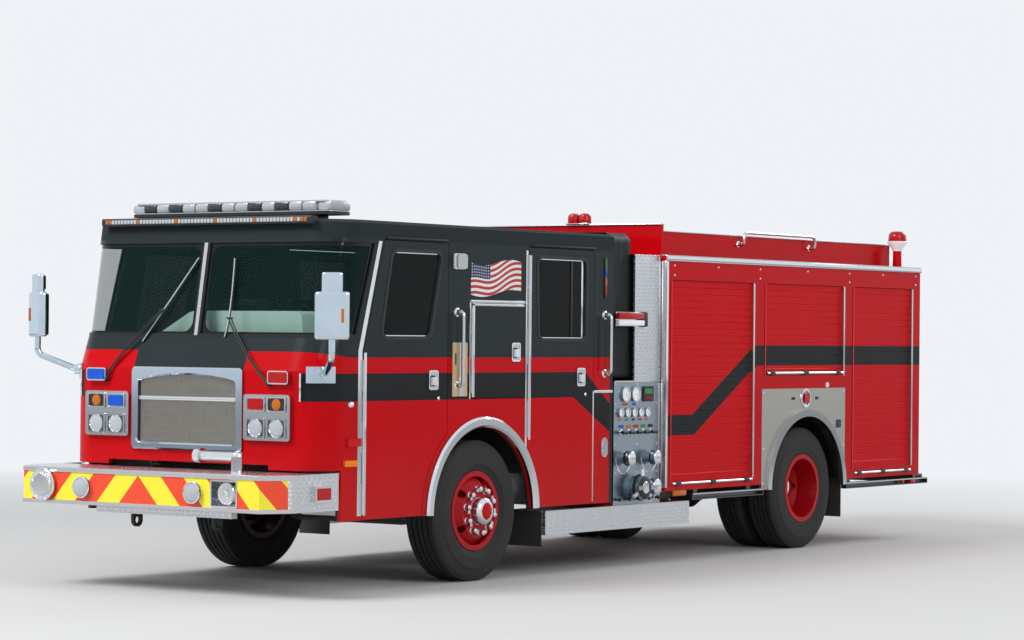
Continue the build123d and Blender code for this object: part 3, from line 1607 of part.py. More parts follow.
# Each capped outlet: X from the front axle, Z and radius
outlets = [(-1985, 880, 52), (-2370, 880, 52), (-2370, 640, 58)]
with BuildPart() as pump_panels:
    block((module_rear_x, module_front_x), panel_y, (module_bottom, pump_panel_top))
    rod_y(intake_x, intake_z, 96, (panel_face, panel_face + 30))
    rod_y(intake_x, intake_z, 78, (panel_face + 30, panel_face + 70))
    rod_y(intake_x, intake_z, 100, (panel_face + 70, panel_face + 118))
    for lug in range(3):
        with Locations(Location((intake_x, panel_face + 94, intake_z), (90, 120 * lug + 30, 0))):
            with Locations((100, 0, 0)):
                Box(60, 34, 40)
    for x, z, radius in gauges:
        rod_y(front_axle_x + x, z, radius, (panel_face, panel_face + 16))
        rod_y(front_axle_x + x, z, radius - 8, (panel_face + 12, panel_face + 20), mode=Mode.SUBTRACT)
    for x, z, radius in outlets:
        rod_y(front_axle_x + x, z, radius + 8, (panel_face, panel_face + 12))
        rod_y(front_axle_x + x, z, radius - 8, (panel_face + 12, panel_face + 80))
        rod_y(front_axle_x + x, z, radius + 6, (panel_face + 60, panel_face + 110))
    for place in range(5):
        x = front_axle_x - 1980 - 110 * place
        rod_y(x, 1090, 12, (panel_face, panel_face + 40))
        block((x - 38, x + 38), (panel_face + 30, panel_face + 50), (1080, 1100))
    mirror(about=Plane.XZ)
save(pump_panels.part, "pump_panels")

# Tread plate: running boards below the crew doors, and the posts behind the crosslay
board_front_x = front_axle_x - 840
board_rear_x = body_front_x - 389
board_y = (900, body_half_width - 3)
board_z = (310, 500)
board_sheet = 14
with BuildPart() as tread_plates:
    # The board is lower and bent down at its ends, with a hollow below
    block((board_rear_x, board_front_x), board_y, board_z)
    block(
        (board_rear_x + board_sheet, board_front_x - board_sheet),
        (board_y[0] + board_sheet, board_y[1] - board_sheet),
        (board_z[0] - 1, board_z[1] - board_sheet),
        mode=Mode.SUBTRACT,
    )
    # Two brackets under the rails carry each board
    for x in (board_front_x - 160, board_rear_x + 260):
        block((x - 20, x + 20), (rail_outer_y - 60, board_y[0] + board_sheet), (board_z[1] - 70, board_z[1] - board_sheet))
        block((x - 20, x + 20), (rail_outer_y - 60, rail_outer_y - 20), (board_z[1] - 70, frame_bottom))
    block((module_rear_x, crosslay_rear_x), (half, half + 14), (pump_panel_top, post_top))
    mirror(about=Plane.XZ)
save(tread_plates.part, "tread_plates")

# Body sides: three compartments each, open outwards, above and between the wheel wells
roof_z = body_top
with BuildPart() as body_sides:
    block((body_rear_x, body_front_x), (body_inner_y, body_half_width), (body_bottom, body_top))
    block(
        (wheel_panel_rear_x, wheel_panel_front_x),
        (body_inner_y - 1, body_half_width + 1),
        (body_bottom - 1, wheel_panel_top),
        mode=Mode.SUBTRACT,
    )
    for front, rear, low in shutter_openings:
        # The doorway, then the wider room behind it
        block(
            (rear, front),
            (body_half_width - 60, body_half_width + 1),
            (low, opening_top),
            mode=Mode.SUBTRACT,
        )
        block(
            (rear - 20, front + 20),
            (body_inner_y + body_wall, body_half_width - 45),
            (max(low, body_bottom + body_wall), body_top - body_wall),
            mode=Mode.SUBTRACT,
        )
    mirror(about=Plane.XZ)
save(body_sides.part, "body_sides")


def shutter(x, low, y_outer, top=opening_top):
    """A roll-up shutter of one opening, as one sheet: interlocked slats over a lift bar."""
    with BuildPart() as door:
        with BuildSketch(cross_plane(x[0] + shutter_track)):
            with BuildLine():
                points = [(y_outer - shutter_depth, low + 3), (y_outer - shutter_depth, top - 3)]
                slats = int((top - low) / shutter_pitch)
                pitch = (top - 3 - low - 70) / slats
                points.append((y_outer, top - 3))
                for place in range(slats - 1, 0, -1):
                    joint = low + 70 + place * pitch
                    points.append((y_outer, joint + shutter_groove / 2))
                    points.append((y_outer - 3, joint))
                    points.append((y_outer, joint - shutter_groove / 2))
                points.append((y_outer, low + 70))
                points.append((y_outer + 8, low + 64))
                points.append((y_outer + 8, low + 3))
                Polyline(*points, close=True)
            make_face()
        extrude(amount=x[1] - x[0] - 2 * shutter_track)
    return door.part


rear_box_half = 620
rear_box_top = 1900
rear_box_bottom = 690
# Body trim: bright side rails and sill of each shutter
with BuildPart() as shutter_tracks:
    for front, rear, low in shutter_openings:
        for x in (rear, front - shutter_track):
            block((x, x + shutter_track), (body_half_width - 50, body_half_width + 6), (low, opening_top))
        block(
            (rear + shutter_track, front - shutter_track),
            (body_half_width - 50, body_half_width + 4),
            (low, low + 3),
        )
    for y in (-rear_box_half, rear_box_half - shutter_track):
        block((body_rear_x - 6, body_rear_x + 50), (y, y + shutter_track), (rear_box_bottom, rear_box_top))

tank_half_width = 610

# Wheel panels: bright plates over the rear wheels with a standing arch lip
rear_arch_x = rear_axle_x
rear_arch_z = wheel_z
with BuildPart() as wheel_panels:
    with BuildSketch(side_plane(body_half_width)):
        with BuildLine():
            Polyline(
                (wheel_panel_front_x, wheel_panel_bottom),
                (wheel_panel_front_x, wheel_panel_top),
                (wheel_panel_rear_x, wheel_panel_top),
                (wheel_panel_rear_x, wheel_panel_bottom),
                close=True,
            )
        make_face()
        with Locations((rear_arch_x, rear_arch_z)):
            Circle(rear_arch_radius, mode=Mode.SUBTRACT)
    extrude(amount=body_wall)
    with BuildSketch(side_plane(body_half_width + 30)):
        with Locations((rear_arch_x, rear_arch_z)):
            Circle(rear_arch_radius + rear_arch_ring)
            Circle(rear_arch_radius, mode=Mode.SUBTRACT)
        with Locations((rear_arch_x, wheel_panel_bottom - 1000)):
            Rectangle(3000, 2000, mode=Mode.SUBTRACT)
    extrude(amount=30)
    # The well's liner behind the panel
    liner = 8
    with BuildSketch(side_plane(body_half_width - body_wall)):
        with Locations((rear_arch_x, rear_arch_z)):
            Circle(rear_arch_radius + liner)
            Circle(rear_arch_radius, mode=Mode.SUBTRACT)
        with Locations((rear_arch_x, wheel_panel_bottom + 60 - 1000)):
            Rectangle(3000, 2000, mode=Mode.SUBTRACT)
    extrude(amount=body_half_width - body_wall - tank_half_width - 5)
    add(shutter_tracks.part)
    mirror(about=Plane.XZ)
save(wheel_panels.part, "body_trim")

# Water tank on the rails, under the hose bed
with BuildPart() as water_tank:
    block(
        (body_rear_x + 522, body_front_x - 65),
        (-tank_half_width, tank_half_width),
        (frame_top + 60, bed_floor_z - 12),
    )
    for x in (body_front_x - 325, wheel_panel_front_x + 248, rear_axle_x + 22, rear_axle_x - 978):
        block((x - 40, x + 40), (-rail_outer_y, rail_outer_y), (frame_top, frame_top + 60))
save(water_tank.part, "water_tank")

# Hose bed: floor, side walls and headboard, open above and behind
with BuildPart() as hose_bed:
    block((bed_rear_x, bed_front_x), (-bed_half_width, bed_half_width), (bed_floor_z - 12, bed_top))
    block(
        (bed_rear_x - 1, bed_front_x - bed_wall),
        (-bed_half_width + bed_wall, bed_half_width - bed_wall),
        (bed_floor_z + bed_wall, bed_top + 1),
        mode=Mode.SUBTRACT,
    )
    # Body sides reach under the walls
    for side in (-1, 1):
        block(
            (bed_rear_x - 1, bed_front_x + 1),
            (side * (body_inner_y - 1), side * (bed_half_width + 1)),
            (bed_floor_z - 13, body_top),
            mode=Mode.SUBTRACT,
        )
    block((bed_rear_x, bed_front_x), (body_inner_y - bed_wall - 1, body_inner_y - 1), (bed_floor_z, body_top))
    block((bed_rear_x, bed_front_x), (-body_inner_y + 1, -body_inner_y + bed_wall + 1), (bed_floor_z, body_top))
    block((bed_rear_x, bed_front_x), (body_inner_y - bed_wall - 1, bed_half_width), (body_top, body_top + 10))
    block((bed_rear_x, bed_front_x), (-bed_half_width, -body_inner_y + bed_wall + 1), (body_top, body_top + 10))
    block(
        (bed_front_x - bed_wall, bed_front_x),
        (-headboard_half_width, headboard_half_width),
        (body_top, headboard_top),
    )
    block(
        (bed_front_x - bed_wall, bed_front_x),
        (-body_inner_y + 1, body_inner_y - 1),
        (bed_floor_z, headboard_top),
    )
save(hose_bed.part, "hose_bed")

# Rear box between the body sides, with its own shutter and the rear wall
rear_front_x = body_rear_x + 482
with BuildPart() as rear_box:
    block((body_rear_x, rear_front_x), (-body_inner_y, body_inner_y), (body_bottom, bed_floor_z - 12))
    block(
        (body_rear_x - 1, rear_front_x - body_wall),
        (-rear_box_half, rear_box_half),
        (rear_box_bottom, rear_box_top),
        mode=Mode.SUBTRACT,
    )
    # The rails end inside the lower part of the box
    block(
        (rail_rear_x, rear_front_x + 1),
        (-rail_outer_y, rail_outer_y),
        (body_bottom - 1, frame_top),
        mode=Mode.SUBTRACT,
    )
    block(
        (rail_rear_x, rear_front_x - body_wall),
        (-rear_box_half, rear_box_half),
        (frame_top, frame_top + body_wall),
    )
save(rear_box.part, "rear_box")

# Shutters of the body: three each side and one at the rear
with BuildPart() as shutters:
    for front, rear, low in shutter_openings:
        add(
            shutter(
                (rear, front),
                low,
                body_half_width - shutter_recess - 8,
            )
        )
    mirror(about=Plane.XZ)
    rear_outline = shutter((-rear_box_half, rear_box_half), rear_box_bottom, 0, rear_box_top)
    add(rear_outline.moved(Location((body_rear_x + shutter_recess + 8, 0, 0), (0, 0, 90))))
save(shutters.part, "shutters")

# Rub rails along the body's foot and the tailboard behind it
tail_x = rear_axle_x - rear_overhang
rub_z = (505, 560)
rub_y = (body_half_width - 35, body_half_width + 22)
tailboard_z = (505, body_bottom)
with BuildPart() as rub_rails:
    for x in ((wheel_panel_front_x, body_front_x - 400), (tail_x, wheel_panel_rear_x)):
        block(x, rub_y, rub_z)
        block(
            (min(x) + 8, max(x) - 8),
            (rub_y[0] + 10, rub_y[1] + 1),
            (rub_z[0] + 8, rub_z[1] - 8),
            mode=Mode.SUBTRACT,
        )
        for post_x in (min(x) + 180, max(x) - 120):
            block((post_x - 30, post_x + 30), (rub_y[0] - 10, rub_y[0] + 10), (rub_z[0] + 10, body_bottom))
    mirror(about=Plane.XZ)
    block((tail_x, body_rear_x), (-rub_y[0], rub_y[0]), (tailboard_z[1] - 20, tailboard_z[1]))
    block((tail_x, tail_x + 16), (-rub_y[0], rub_y[0]), tailboard_z)
    block((body_rear_x, body_rear_x + 60), (-rub_y[0], rub_y[0]), (tailboard_z[1] - 20, tailboard_z[1]))
save(rub_rails.part, "rub_rails")

# Lamps of the body: tail clusters, side lamps, marker lamps and beacons on top
tail_lamp_y = 960
tail_lamps = [(800, 130), (960, 130), (1120, 130), (2280, 150)]
beacon_radius = 62
beacon_y = body_half_width - 183
headboard_beacon_y = 367
with BuildPart() as body_lamps:
    for z, height in tail_lamps:
        block(
            (body_rear_x - 30, body_rear_x),
            (tail_lamp_y - 85, tail_lamp_y + 85),
            (z - height / 2, z + height / 2),
        )
    block(
        (rear_axle_x + 10 - 70, rear_axle_x + 10 + 70),
        (body_half_width, body_half_width + 22),
        (1290, 1380),
    )
    block(
        (body_rear_x + 126 - 45, body_rear_x + 126 + 45),
        (body_half_width, body_half_width + 14),
        (body_bottom + 4, body_bottom + 44),
    )
    x = body_rear_x + 122
    block((x - 60, x + 60), (beacon_y - 90, beacon_y + 90), (body_top, body_top + 30))
    rod_z(x, beacon_y, 40, (body_top + 30, body_top + 150))
    rod_z(x, beacon_y, beacon_radius, (body_top + 150, body_top + 255))
    block((x - 80, x + 80), (beacon_y - 80, beacon_y + 80), (body_top + 255, body_top + 270))
    # Beacon on the headboard
    rod_z(bed_front_x - bed_wall / 2, headboard_beacon_y, 50, (headboard_top, headboard_top + 28))
    rod_z(bed_front_x - bed_wall / 2, headboard_beacon_y, 80, (headboard_top + 28, headboard_top + 110))
    mirror(about=Plane.XZ)
save(body_lamps.part, "body_lamps")

# Hand rails: over the hose bed's edge, beside the rear shutter and over the tailboard
with BuildPart() as hand_rails:
    rails = [
        (
            (rear_axle_x + 742, bed_half_width + 60, body_top),
            (rear_axle_x + 742, bed_half_width + 60, bed_top + 30),
            (rear_axle_x - 558, bed_half_width + 60, bed_top + 30),
            (rear_axle_x - 558, bed_half_width + 60, body_top),
        ),
        (
            (body_rear_x, 780, 1000),
            (body_rear_x - 70, 780, 1000),
            (body_rear_x - 70, 780, 1800),
            (body_rear_x, 780, 1800),
        ),
    ]
    for points in rails:
        with BuildPart(mode=Mode.PRIVATE) as rail:
            with BuildLine() as path:
                FilletPolyline(*points, radius=32)
            with BuildSketch(Plane(origin=path.line @ 0, z_dir=path.line % 0)):
                Circle(rail_radius)
            sweep(path=path.line)
        add(rail.part)
    mirror(about=Plane.XZ)
save(hand_rails.part, "hand_rails")

# Mud flaps behind the front and rear wheels
flap_thickness = 10
with BuildPart() as mud_flaps:
    block((board_front_x, board_front_x + flap_thickness), (900, 1215), (220, board_z[1]))
    block(
        (wheel_panel_rear_x + 20, wheel_panel_rear_x + 20 + flap_thickness),
        (640, body_half_width - body_wall),
        (250, 800),
    )
    mirror(about=Plane.XZ)
save(mud_flaps.part, "mud_flaps")
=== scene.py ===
# %% [markdown]
# # Dressing a fire engine
# The engine arrives as finished solids: cab, body, pump, wheels and doors, each on the body it moves with.
# This lesson gives every solid its paint, metal, glass or rubber, and adds the small things that make it
# read as a working engine. Lengths are metres, X points forward, Y to the vehicle's left and Z up from the
# floor.

import math

import bmesh
import bpy
from mathutils import Matrix, Vector


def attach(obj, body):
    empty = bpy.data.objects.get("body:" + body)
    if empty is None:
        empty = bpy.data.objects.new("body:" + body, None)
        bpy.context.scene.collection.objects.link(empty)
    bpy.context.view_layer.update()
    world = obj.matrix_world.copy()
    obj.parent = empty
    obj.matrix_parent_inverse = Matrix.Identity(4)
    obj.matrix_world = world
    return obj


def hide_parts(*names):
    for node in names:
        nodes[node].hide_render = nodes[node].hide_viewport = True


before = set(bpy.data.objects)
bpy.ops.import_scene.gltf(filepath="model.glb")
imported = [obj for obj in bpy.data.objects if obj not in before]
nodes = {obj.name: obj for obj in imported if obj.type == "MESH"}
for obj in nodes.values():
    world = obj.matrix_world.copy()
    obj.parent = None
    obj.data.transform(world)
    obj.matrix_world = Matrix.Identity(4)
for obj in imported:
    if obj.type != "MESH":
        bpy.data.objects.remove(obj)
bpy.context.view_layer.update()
SIDES = {"left": 1, "right": -1}
BOTH = (1, -1)
AHEAD, ACROSS, UP = (1, 0, 0), (0, 1, 0), (0, 0, 1)
FRONT_AXLE, WHEELBASE, WHEEL_Z = 2.341, 4.922, 0.535
REAR_AXLE = FRONT_AXLE - WHEELBASE
FRONT_TRACK, REAR_TRACK = 1.045, 0.920
NUT_FACE = FRONT_TRACK + 0.162
CAB_Y, BODY_Y, PANEL_Y = 1.220, 1.253, 1.204
CAB_FACE = FRONT_AXLE + 1.965
BUMPER_FACE, SWEEP_Y, SHEET_Z = FRONT_AXLE + 2.490, 1.125, (0.640, 0.842)


def along(x):
    """A place along the engine, given ahead of the front axle."""
    return FRONT_AXLE + x


# %% [markdown]
# ## Shader arithmetic
# Most finishes here change with height or with the distance from an edge, which is arithmetic on
# coordinates. Wrapping a socket in a small class lets that be written as ordinary expressions: each
# operator adds the node it stands for. Masks are numbers between 0 and 1, so `&` multiplies them and `|`
# takes the larger.

# %% A socket with operators
class Value:
    """One output of a shader node, with operators that add the next node."""

    def __init__(self, finish, output):
        self.finish, self.output = finish, output

    def math(self, operation, *others):
        return self.finish.node("ShaderNodeMath", {"operation": operation}, self, *others)

    def flipped(self, operation, other):
        return self.finish.node("ShaderNodeMath", {"operation": operation}, other, self)

    def __add__(self, other):
        return self.math("ADD", other)

    def __sub__(self, other):
        return self.math("SUBTRACT", other)

    def __rsub__(self, other):
        return self.flipped("SUBTRACT", other)

    def __mul__(self, other):
        return self.math("MULTIPLY", other)

    def __truediv__(self, other):
        return self.math("DIVIDE", other)

    def __gt__(self, other):
        return self.math("GREATER_THAN", other)

    def __lt__(self, other):
        return self.math("LESS_THAN", other)

    def __mod__(self, other):
        return self.math("FLOORED_MODULO", other)

    def __and__(self, other):
        return self.math("MULTIPLY", other)

    def __or__(self, other):
        return self.math("MAXIMUM", other)

    def __abs__(self):
        return self.math("ABSOLUTE")

    def at_least(self, other):
        return self.math("MAXIMUM", other)

    def at_most(self, other):
        return self.math("MINIMUM", other)

    def fraction(self):
        return self.math("FRACT")

    def wave(self):
        return self.math("SINE")

    def between(self, low, high):
        return (self > low) & (self < high)

    __radd__ = __add__
    __rmul__ = __mul__


class Finish:
    """A material being built, with the object's own coordinates ready to use."""

    def __init__(self, name):
        self.material = bpy.data.materials.new(name)
        self.material.use_nodes = True
        self.tree = self.material.node_tree
        self.tree.nodes.clear()
        self.shader = self.tree.nodes.new("ShaderNodeBsdfPrincipled")
        self.surface = self.tree.nodes.new("ShaderNodeOutputMaterial").inputs["Surface"]
        self.tree.links.new(self.shader.outputs[0], self.surface)
        coordinates = self.tree.nodes.new("ShaderNodeTexCoord")
        self.place = Value(self, coordinates.outputs["Object"])
        split = self.node("ShaderNodeSeparateXYZ", {}, self.place).output.node
        self.x, self.y, self.z = (Value(self, split.outputs[axis]) for axis in "XYZ")

    def plug(self, socket, value):
        if isinstance(value, Value):
            self.tree.links.new(value.output, socket)
        elif hasattr(socket.default_value, "__len__") and len(socket.default_value) == 4 and len(value) == 3:
            socket.default_value = (*value, 1)
        else:
            socket.default_value = value

    def node(self, kind, settings, *inputs, output=0, **named):
        """Adds a node: its settings first, then its sockets by place or by name."""
        node = self.tree.nodes.new(kind)
        for key, value in settings.items():
            setattr(node, key, value)
        for socket, value in zip(node.inputs, inputs):
            self.plug(socket, value)
        for key, value in named.items():
            self.plug(node.inputs[key.replace("_", " ")], value)
        return Value(self, node.outputs[output])

    def blend(self, mask, below, above):
        """Colour below where the mask is 0 and above where it is 1."""
        node = self.tree.nodes.new("ShaderNodeMix")
        node.data_type = "RGBA"
        for socket, value in zip((node.inputs[0], node.inputs[6], node.inputs[7]), (mask, below, above)):
            self.plug(socket, value)
        return Value(self, node.outputs[2])

    def base(self):
        """The colour that the shader has so far."""
        return Value(self, self.shader.inputs["Base Color"].links[0].from_socket)

    def noise(self, scale, detail=3, stretch=(1, 1, 1)):
        """Cloudy noise, from 0 to 1, drawn out along an axis by a small stretch number."""
        place = self.place
        if stretch != (1, 1, 1):
            place = self.node("ShaderNodeMapping", {}, self.place, Scale=stretch)
        return self.node("ShaderNodeTexNoise", {}, place, Scale=scale, Detail=detail)

    def set(self, **named):
        for key, value in named.items():
            self.plug(self.shader.inputs[key.replace("_", " ")], value)
        return self

    def bump(self, height, strength=0.3, distance=0.002):
        self.set(Normal=self.node("ShaderNodeBump", {}, Strength=strength, Distance=distance, Height=height))
        return self


def srgb(red, green, blue):
    """A screen colour, 0 to 255, as the linear numbers that shaders take."""
    values = [c / 255 for c in (red, green, blue)]
    return tuple(c / 12.92 if c < 0.04045 else ((c + 0.055) / 1.055) ** 2.4 for c in values)


def distance(u, v):
    """How far a point lies from the place where two coordinates are 0."""
    return (u * u + v * v).math("SQRT")


# %% [markdown]
# ## Paint
# Fire-engine paint is a deep colour under a thick clear coat. Close up it has a faint orange-peel ripple,
# the tone wanders a little over a panel, and dust greys it near the ground. All painted panels share this
# recipe, and each gets its own layout of colours. Hinges, paddles and bolts belong to the same solids,
# but stand proud of the sheet, so a mask on Y makes everything beyond the sheet bright metal.

# %% Colours and the paint recipe
RED = srgb(196, 5, 16)
CHARCOAL = srgb(43, 50, 52)
STRIPE = srgb(34, 36, 38)
DUST = srgb(120, 108, 96)
BRIGHT = srgb(205, 207, 210)
STAINLESS = srgb(206, 207, 208)
CHROME = srgb(228, 230, 233)
AMBER = srgb(238, 128, 12)
BLACK = (0.0, 0.0, 0.0)


def paint(name, layout, proud_of=None, gloss=0.07, rough=0.2):
    """Coated paint. layout(finish) gives its colour, and what stands beyond proud_of on Y is bright metal."""
    finish = Finish(name)
    tone = finish.noise(1.7, 4)
    colour = finish.blend(tone * 0.14, layout(finish), BLACK)
    low = ((1.15 - finish.z) / 0.9).at_least(0) * finish.noise(5, 6)
    colour = finish.blend(low * 0.16, colour, DUST)
    rough = finish.noise(24, 5) * 0.1 + low * 0.25 + rough
    if proud_of is None:
        finish.set(Base_Color=colour, Roughness=rough)
    else:
        metal = abs(finish.y) > proud_of
        finish.set(Base_Color=finish.blend(metal, colour, BRIGHT), Roughness=rough, Metallic=metal)
    finish.set(Coat_Weight=gloss, Coat_Roughness=0.05, Specular_IOR_Level=0.06)
    finish.bump(finish.noise(420, 2), 0.05, 0.0004)
    return finish.material


def plain(colour):
    return lambda finish: colour


def cab_layout(finish):
    """Charcoal above, red below, a dark stripe that dives behind the crew door, and dark trim inside."""
    x, y, z = finish.x - FRONT_AXLE, abs(finish.y), finish.z
    edge = 1.70 + ((x - 1.62) / 0.3).at_least(0).at_most(1) * 0.038
    nose = (y < 0.53) & (z > 1.56) & (x > 1.8)
    upper = (z > edge) | nose
    top = (1.575 + (x + 1.438) * 0.72).at_most(1.585)
    bottom = (1.385 + (x + 1.256) * 0.541).at_most(1.385)
    stripe = (z < top) & (z > bottom) & (y > 1.035)
    outside = finish.blend(stripe, finish.blend(upper, RED, CHARCOAL), STRIPE)
    inside = (y < CAB_Y - 0.024) & (x < 1.70)
    return finish.blend(inside, outside, srgb(40, 42, 44))


def body_layout(finish):
    """Red with a dark stripe that climbs over the front shutter."""
    x, y, z = finish.x - FRONT_AXLE, abs(finish.y), finish.z
    top = (1.22 + (-3.03 - x) * 0.577).at_least(1.22).at_most(1.805)
    bottom = (1.05 + (-3.06 - x) * 0.577).at_least(1.05).at_most(1.63)
    side = finish.blend((z < top) & (z > bottom) & (y > 1.2), RED, STRIPE)
    band = (((y + z) / 0.30).fraction() < 0.5) & (y > 0.64) & (z < 2.5)
    return finish.blend(band & (x < -7.0815), side, srgb(238, 214, 40))


cab_paint = paint("cab paint", cab_layout, CAB_Y + 0.0005)
body_paint = paint("body paint", body_layout)
red_paint = paint("red paint", plain(RED))
roof_paint = paint("roof paint", plain(CHARCOAL), gloss=0.01, rough=0.62)

# %% [markdown]
# ## Metals
# Three bright metals meet on this engine. Tread plate carries raised lozenges that turn by a right angle
# from one cell to the next. Stainless sheet has a fine grain along its length. Chrome is smooth, with only
# faint smudges. The tread pattern has to lie flat on tops, sides and fronts alike, so it is drawn three
# times and the surface's own normal picks one.

# %% Tread plate, stainless and chrome
def lozenges(finish, u, v, pitch=0.030):
    """Raised lozenges in a plane: 1 on a lozenge and 0 between them."""
    u, v = u / pitch, v / pitch
    odd = (u.math("FLOOR") + v.math("FLOOR")) % 2
    lean = odd * 2 - 1
    du, dv = u.fraction() - 0.5, v.fraction() - 0.5
    lengthways = (du + dv * lean) * 0.7071
    sideways = (dv - du * lean) * 0.7071
    reach = (lengthways * 2.1) * (lengthways * 2.1) + (sideways * 7) * (sideways * 7)
    return (1 - reach).at_least(0).math("POWER", 0.5)


def tread_height(finish):
    normal = finish.node("ShaderNodeTexCoord", {}, output=1)
    split = finish.node("ShaderNodeSeparateXYZ", {}, normal).output.node
    nx, ny, nz = (abs(Value(finish, split.outputs[axis])) > 0.7 for axis in "XYZ")
    top = lozenges(finish, finish.x, finish.y) * nz
    side = lozenges(finish, finish.x, finish.z) * ny
    return top + side + lozenges(finish, finish.y, finish.z) * nx


def metal(name, colour, rough, grain=(1, 1, 1), scale=60, wear=0.12):
    finish = Finish(name)
    streaks = finish.noise(scale, 5, grain)
    shade = finish.blend(streaks * 0.25, colour, tuple(c * 0.55 for c in colour))
    finish.set(Base_Color=shade, Metallic=1.0, Roughness=rough + streaks * wear)
    return finish


def tread_plate(name, chevrons=False):
    """Tread plate, which may carry a flat sheet of chevrons on the bumper's swept face."""
    finish = metal(name, srgb(214, 217, 221), 0.2)
    height = tread_height(finish)
    if chevrons:
        y, (low, high) = abs(finish.y), SHEET_Z
        past_bend = (y - SWEEP_Y).at_least(0)
        face = BUMPER_FACE - past_bend * 1.68
        band = (finish.x > face - 0.005) & finish.z.between(low, high) & (y < 1.235)
        step = ((y + past_bend * 0.955 - (high - finish.z) * 0.9) / 0.215).math("FLOOR")
        yellow = abs(step % 2) < 0.5
        sheet = finish.blend(yellow, srgb(240, 72, 38), srgb(247, 233, 52))
        finish.set(Base_Color=finish.blend(band, finish.base(), sheet), Metallic=1 - band)
        height = height * (1 - band)
    finish.bump(height, 0.9, 0.0022)
    return finish.material


tread = tread_plate("tread plate")
bumper_tread = tread_plate("bumper plate", chevrons=True)
stainless = metal("stainless sheet", STAINLESS, 0.2, (0.04, 1, 1), 300).material
stainless_up = metal("stainless upright", STAINLESS, 0.2, (1, 1, 0.04), 300).material
chrome = metal("chrome", CHROME, 0.045, scale=18, wear=0.06).material
dark_metal = metal("dark bright metal", srgb(96, 100, 104), 0.3).material
chrome_trim = metal("bright trim", srgb(224, 228, 233), 0.1, (0.04, 1, 1), 200, 0.06).material
panel_steel = metal("panel steel", srgb(158, 170, 181), 0.24, (0.04, 1, 1), 300).material

# %% [markdown]
# ## Rubber, plastic, glass and lamps
# Rubber and moulded plastic are dark and rough with a grain. Window glass is a tinted sheet that lets the
# seats show. A lamp lens is strongly coloured, shiny, and ribbed inside, so a fine rib pattern bends its
# highlights.

# %% The other finishes
def moulded(name, colour, rough, grain=240, depth=0.25, dusty=0.0):
    finish = Finish(name)
    dust = finish.noise(3, 6) * dusty
    shade = finish.blend(finish.noise(9, 4) * 0.3, colour, tuple(c * 1.6 for c in colour))
    finish.set(Base_Color=finish.blend(dust, shade, DUST), Roughness=rough + finish.noise(30, 3) * 0.12)
    finish.bump(finish.noise(grain, 3), depth, 0.001)
    return finish.material


def lens(name, colour, pitch=0.012):
    finish = Finish(name)
    ribs = ((finish.y + finish.x) / pitch).fraction() - 0.5
    rows = (finish.z / pitch).fraction() - 0.5
    dome = 1 - (ribs * ribs + rows * rows) * 2
    finish.set(Base_Color=finish.blend(dome * 0.45, tuple(c * 0.45 for c in colour), colour))
    finish.set(Roughness=0.12, Coat_Weight=0.25, Coat_Roughness=0.03, Specular_IOR_Level=0.2)
    finish.bump(dome, 0.5, 0.002)
    return finish.material


def window(name, tint, alpha, gloss):
    finish = Finish(name)
    smear = finish.noise(2.2, 5)
    finish.set(Base_Color=tint, Roughness=0.02 + smear * 0.03, Alpha=alpha)
    finish.set(Coat_Weight=gloss, Coat_Roughness=0.02, Specular_IOR_Level=0.08)
    return finish


tyre_rubber = moulded("tyre rubber", srgb(23, 23, 24), 0.75, 160, 0.35, 0.07)
seal_rubber = moulded("seal rubber", srgb(18, 18, 19), 0.55)
flap_rubber = moulded("flap rubber", srgb(24, 24, 25), 0.7, 90, 0.3, 0.2)
chassis_black = moulded("chassis black", srgb(26, 26, 28), 0.42, 120, 0.2, 0.3)
casting_grey = moulded("casting grey", srgb(84, 86, 88), 0.5, 90, 0.4, 0.3)
cab_plastic = moulded("cab plastic", srgb(62, 64, 67), 0.62, 380, 0.35)
black_plastic = moulded("black plastic", srgb(20, 20, 21), 0.4, 420, 0.2)
tank_plastic = moulded("tank plastic", srgb(205, 205, 200), 0.45, 60, 0.2)
lens_red = lens("red lens", srgb(222, 4, 16))
lens_amber = lens("amber lens", AMBER)
lens_blue = lens("blue lens", srgb(8, 104, 246))
lens_clear = lens("clear lens", srgb(222, 228, 234))
lens_green = lens("green lens", srgb(36, 170, 84))
lens_smoke = lens("smoked lens", srgb(52, 60, 70))
# The side panes are near black and near opaque: a tint, with painted shade for the dark cab behind them.
side_glass = window("side glass", srgb(6, 10, 10), 0.9, 0.05).material

# %% [markdown]
# The windscreen's edge is bonded, and a black band is fired into the glass all round to hide the bond. The
# band is a mask: close to the lower and upper edges, to the middle post and to the raked pillar it turns
# the glass black and opaque, with rounded inner corners. The clear part has a green tint and lets the
# seats, the wheel and the pale instrument hood show.

# %% Windscreen glass
GREEN_TINT, CLEAR = srgb(14, 48, 46), 0.22
finish = window("windscreen glass", GREEN_TINT, CLEAR, 0.3)
pane_low, pane_high, band, corner = 1.850, 2.528, 0.026, 0.080
middle_z, half_high = (pane_low + pane_high) / 2, (pane_high - pane_low) / 2
pillar = FRONT_AXLE + 1.452 + 0.12 - (finish.z - 1.72) * (0.245 / 0.834)
out_y = (0.034 + band + corner - abs(finish.y)).at_least(0)
out_z = (abs(finish.z - middle_z) - (half_high - band - corner)).at_least(0)
edge = (distance(out_y, out_z) > corner) | (finish.x < pillar + band)
finish.set(Base_Color=finish.blend(edge, GREEN_TINT, (0.006, 0.006, 0.006)))
finish.set(Alpha=CLEAR + edge * (1 - CLEAR))
windscreen_glass = finish.material

# %% [markdown]
# ## Solids that hold more than one finish
# A wheel is red paint, chromed nuts and a bright hub in one solid, and a door well is plastic with tread
# plate on its steps. A mask on distance from the axle, or on height, tells the finishes apart, which keeps
# each solid whole and lets its pattern turn with it.

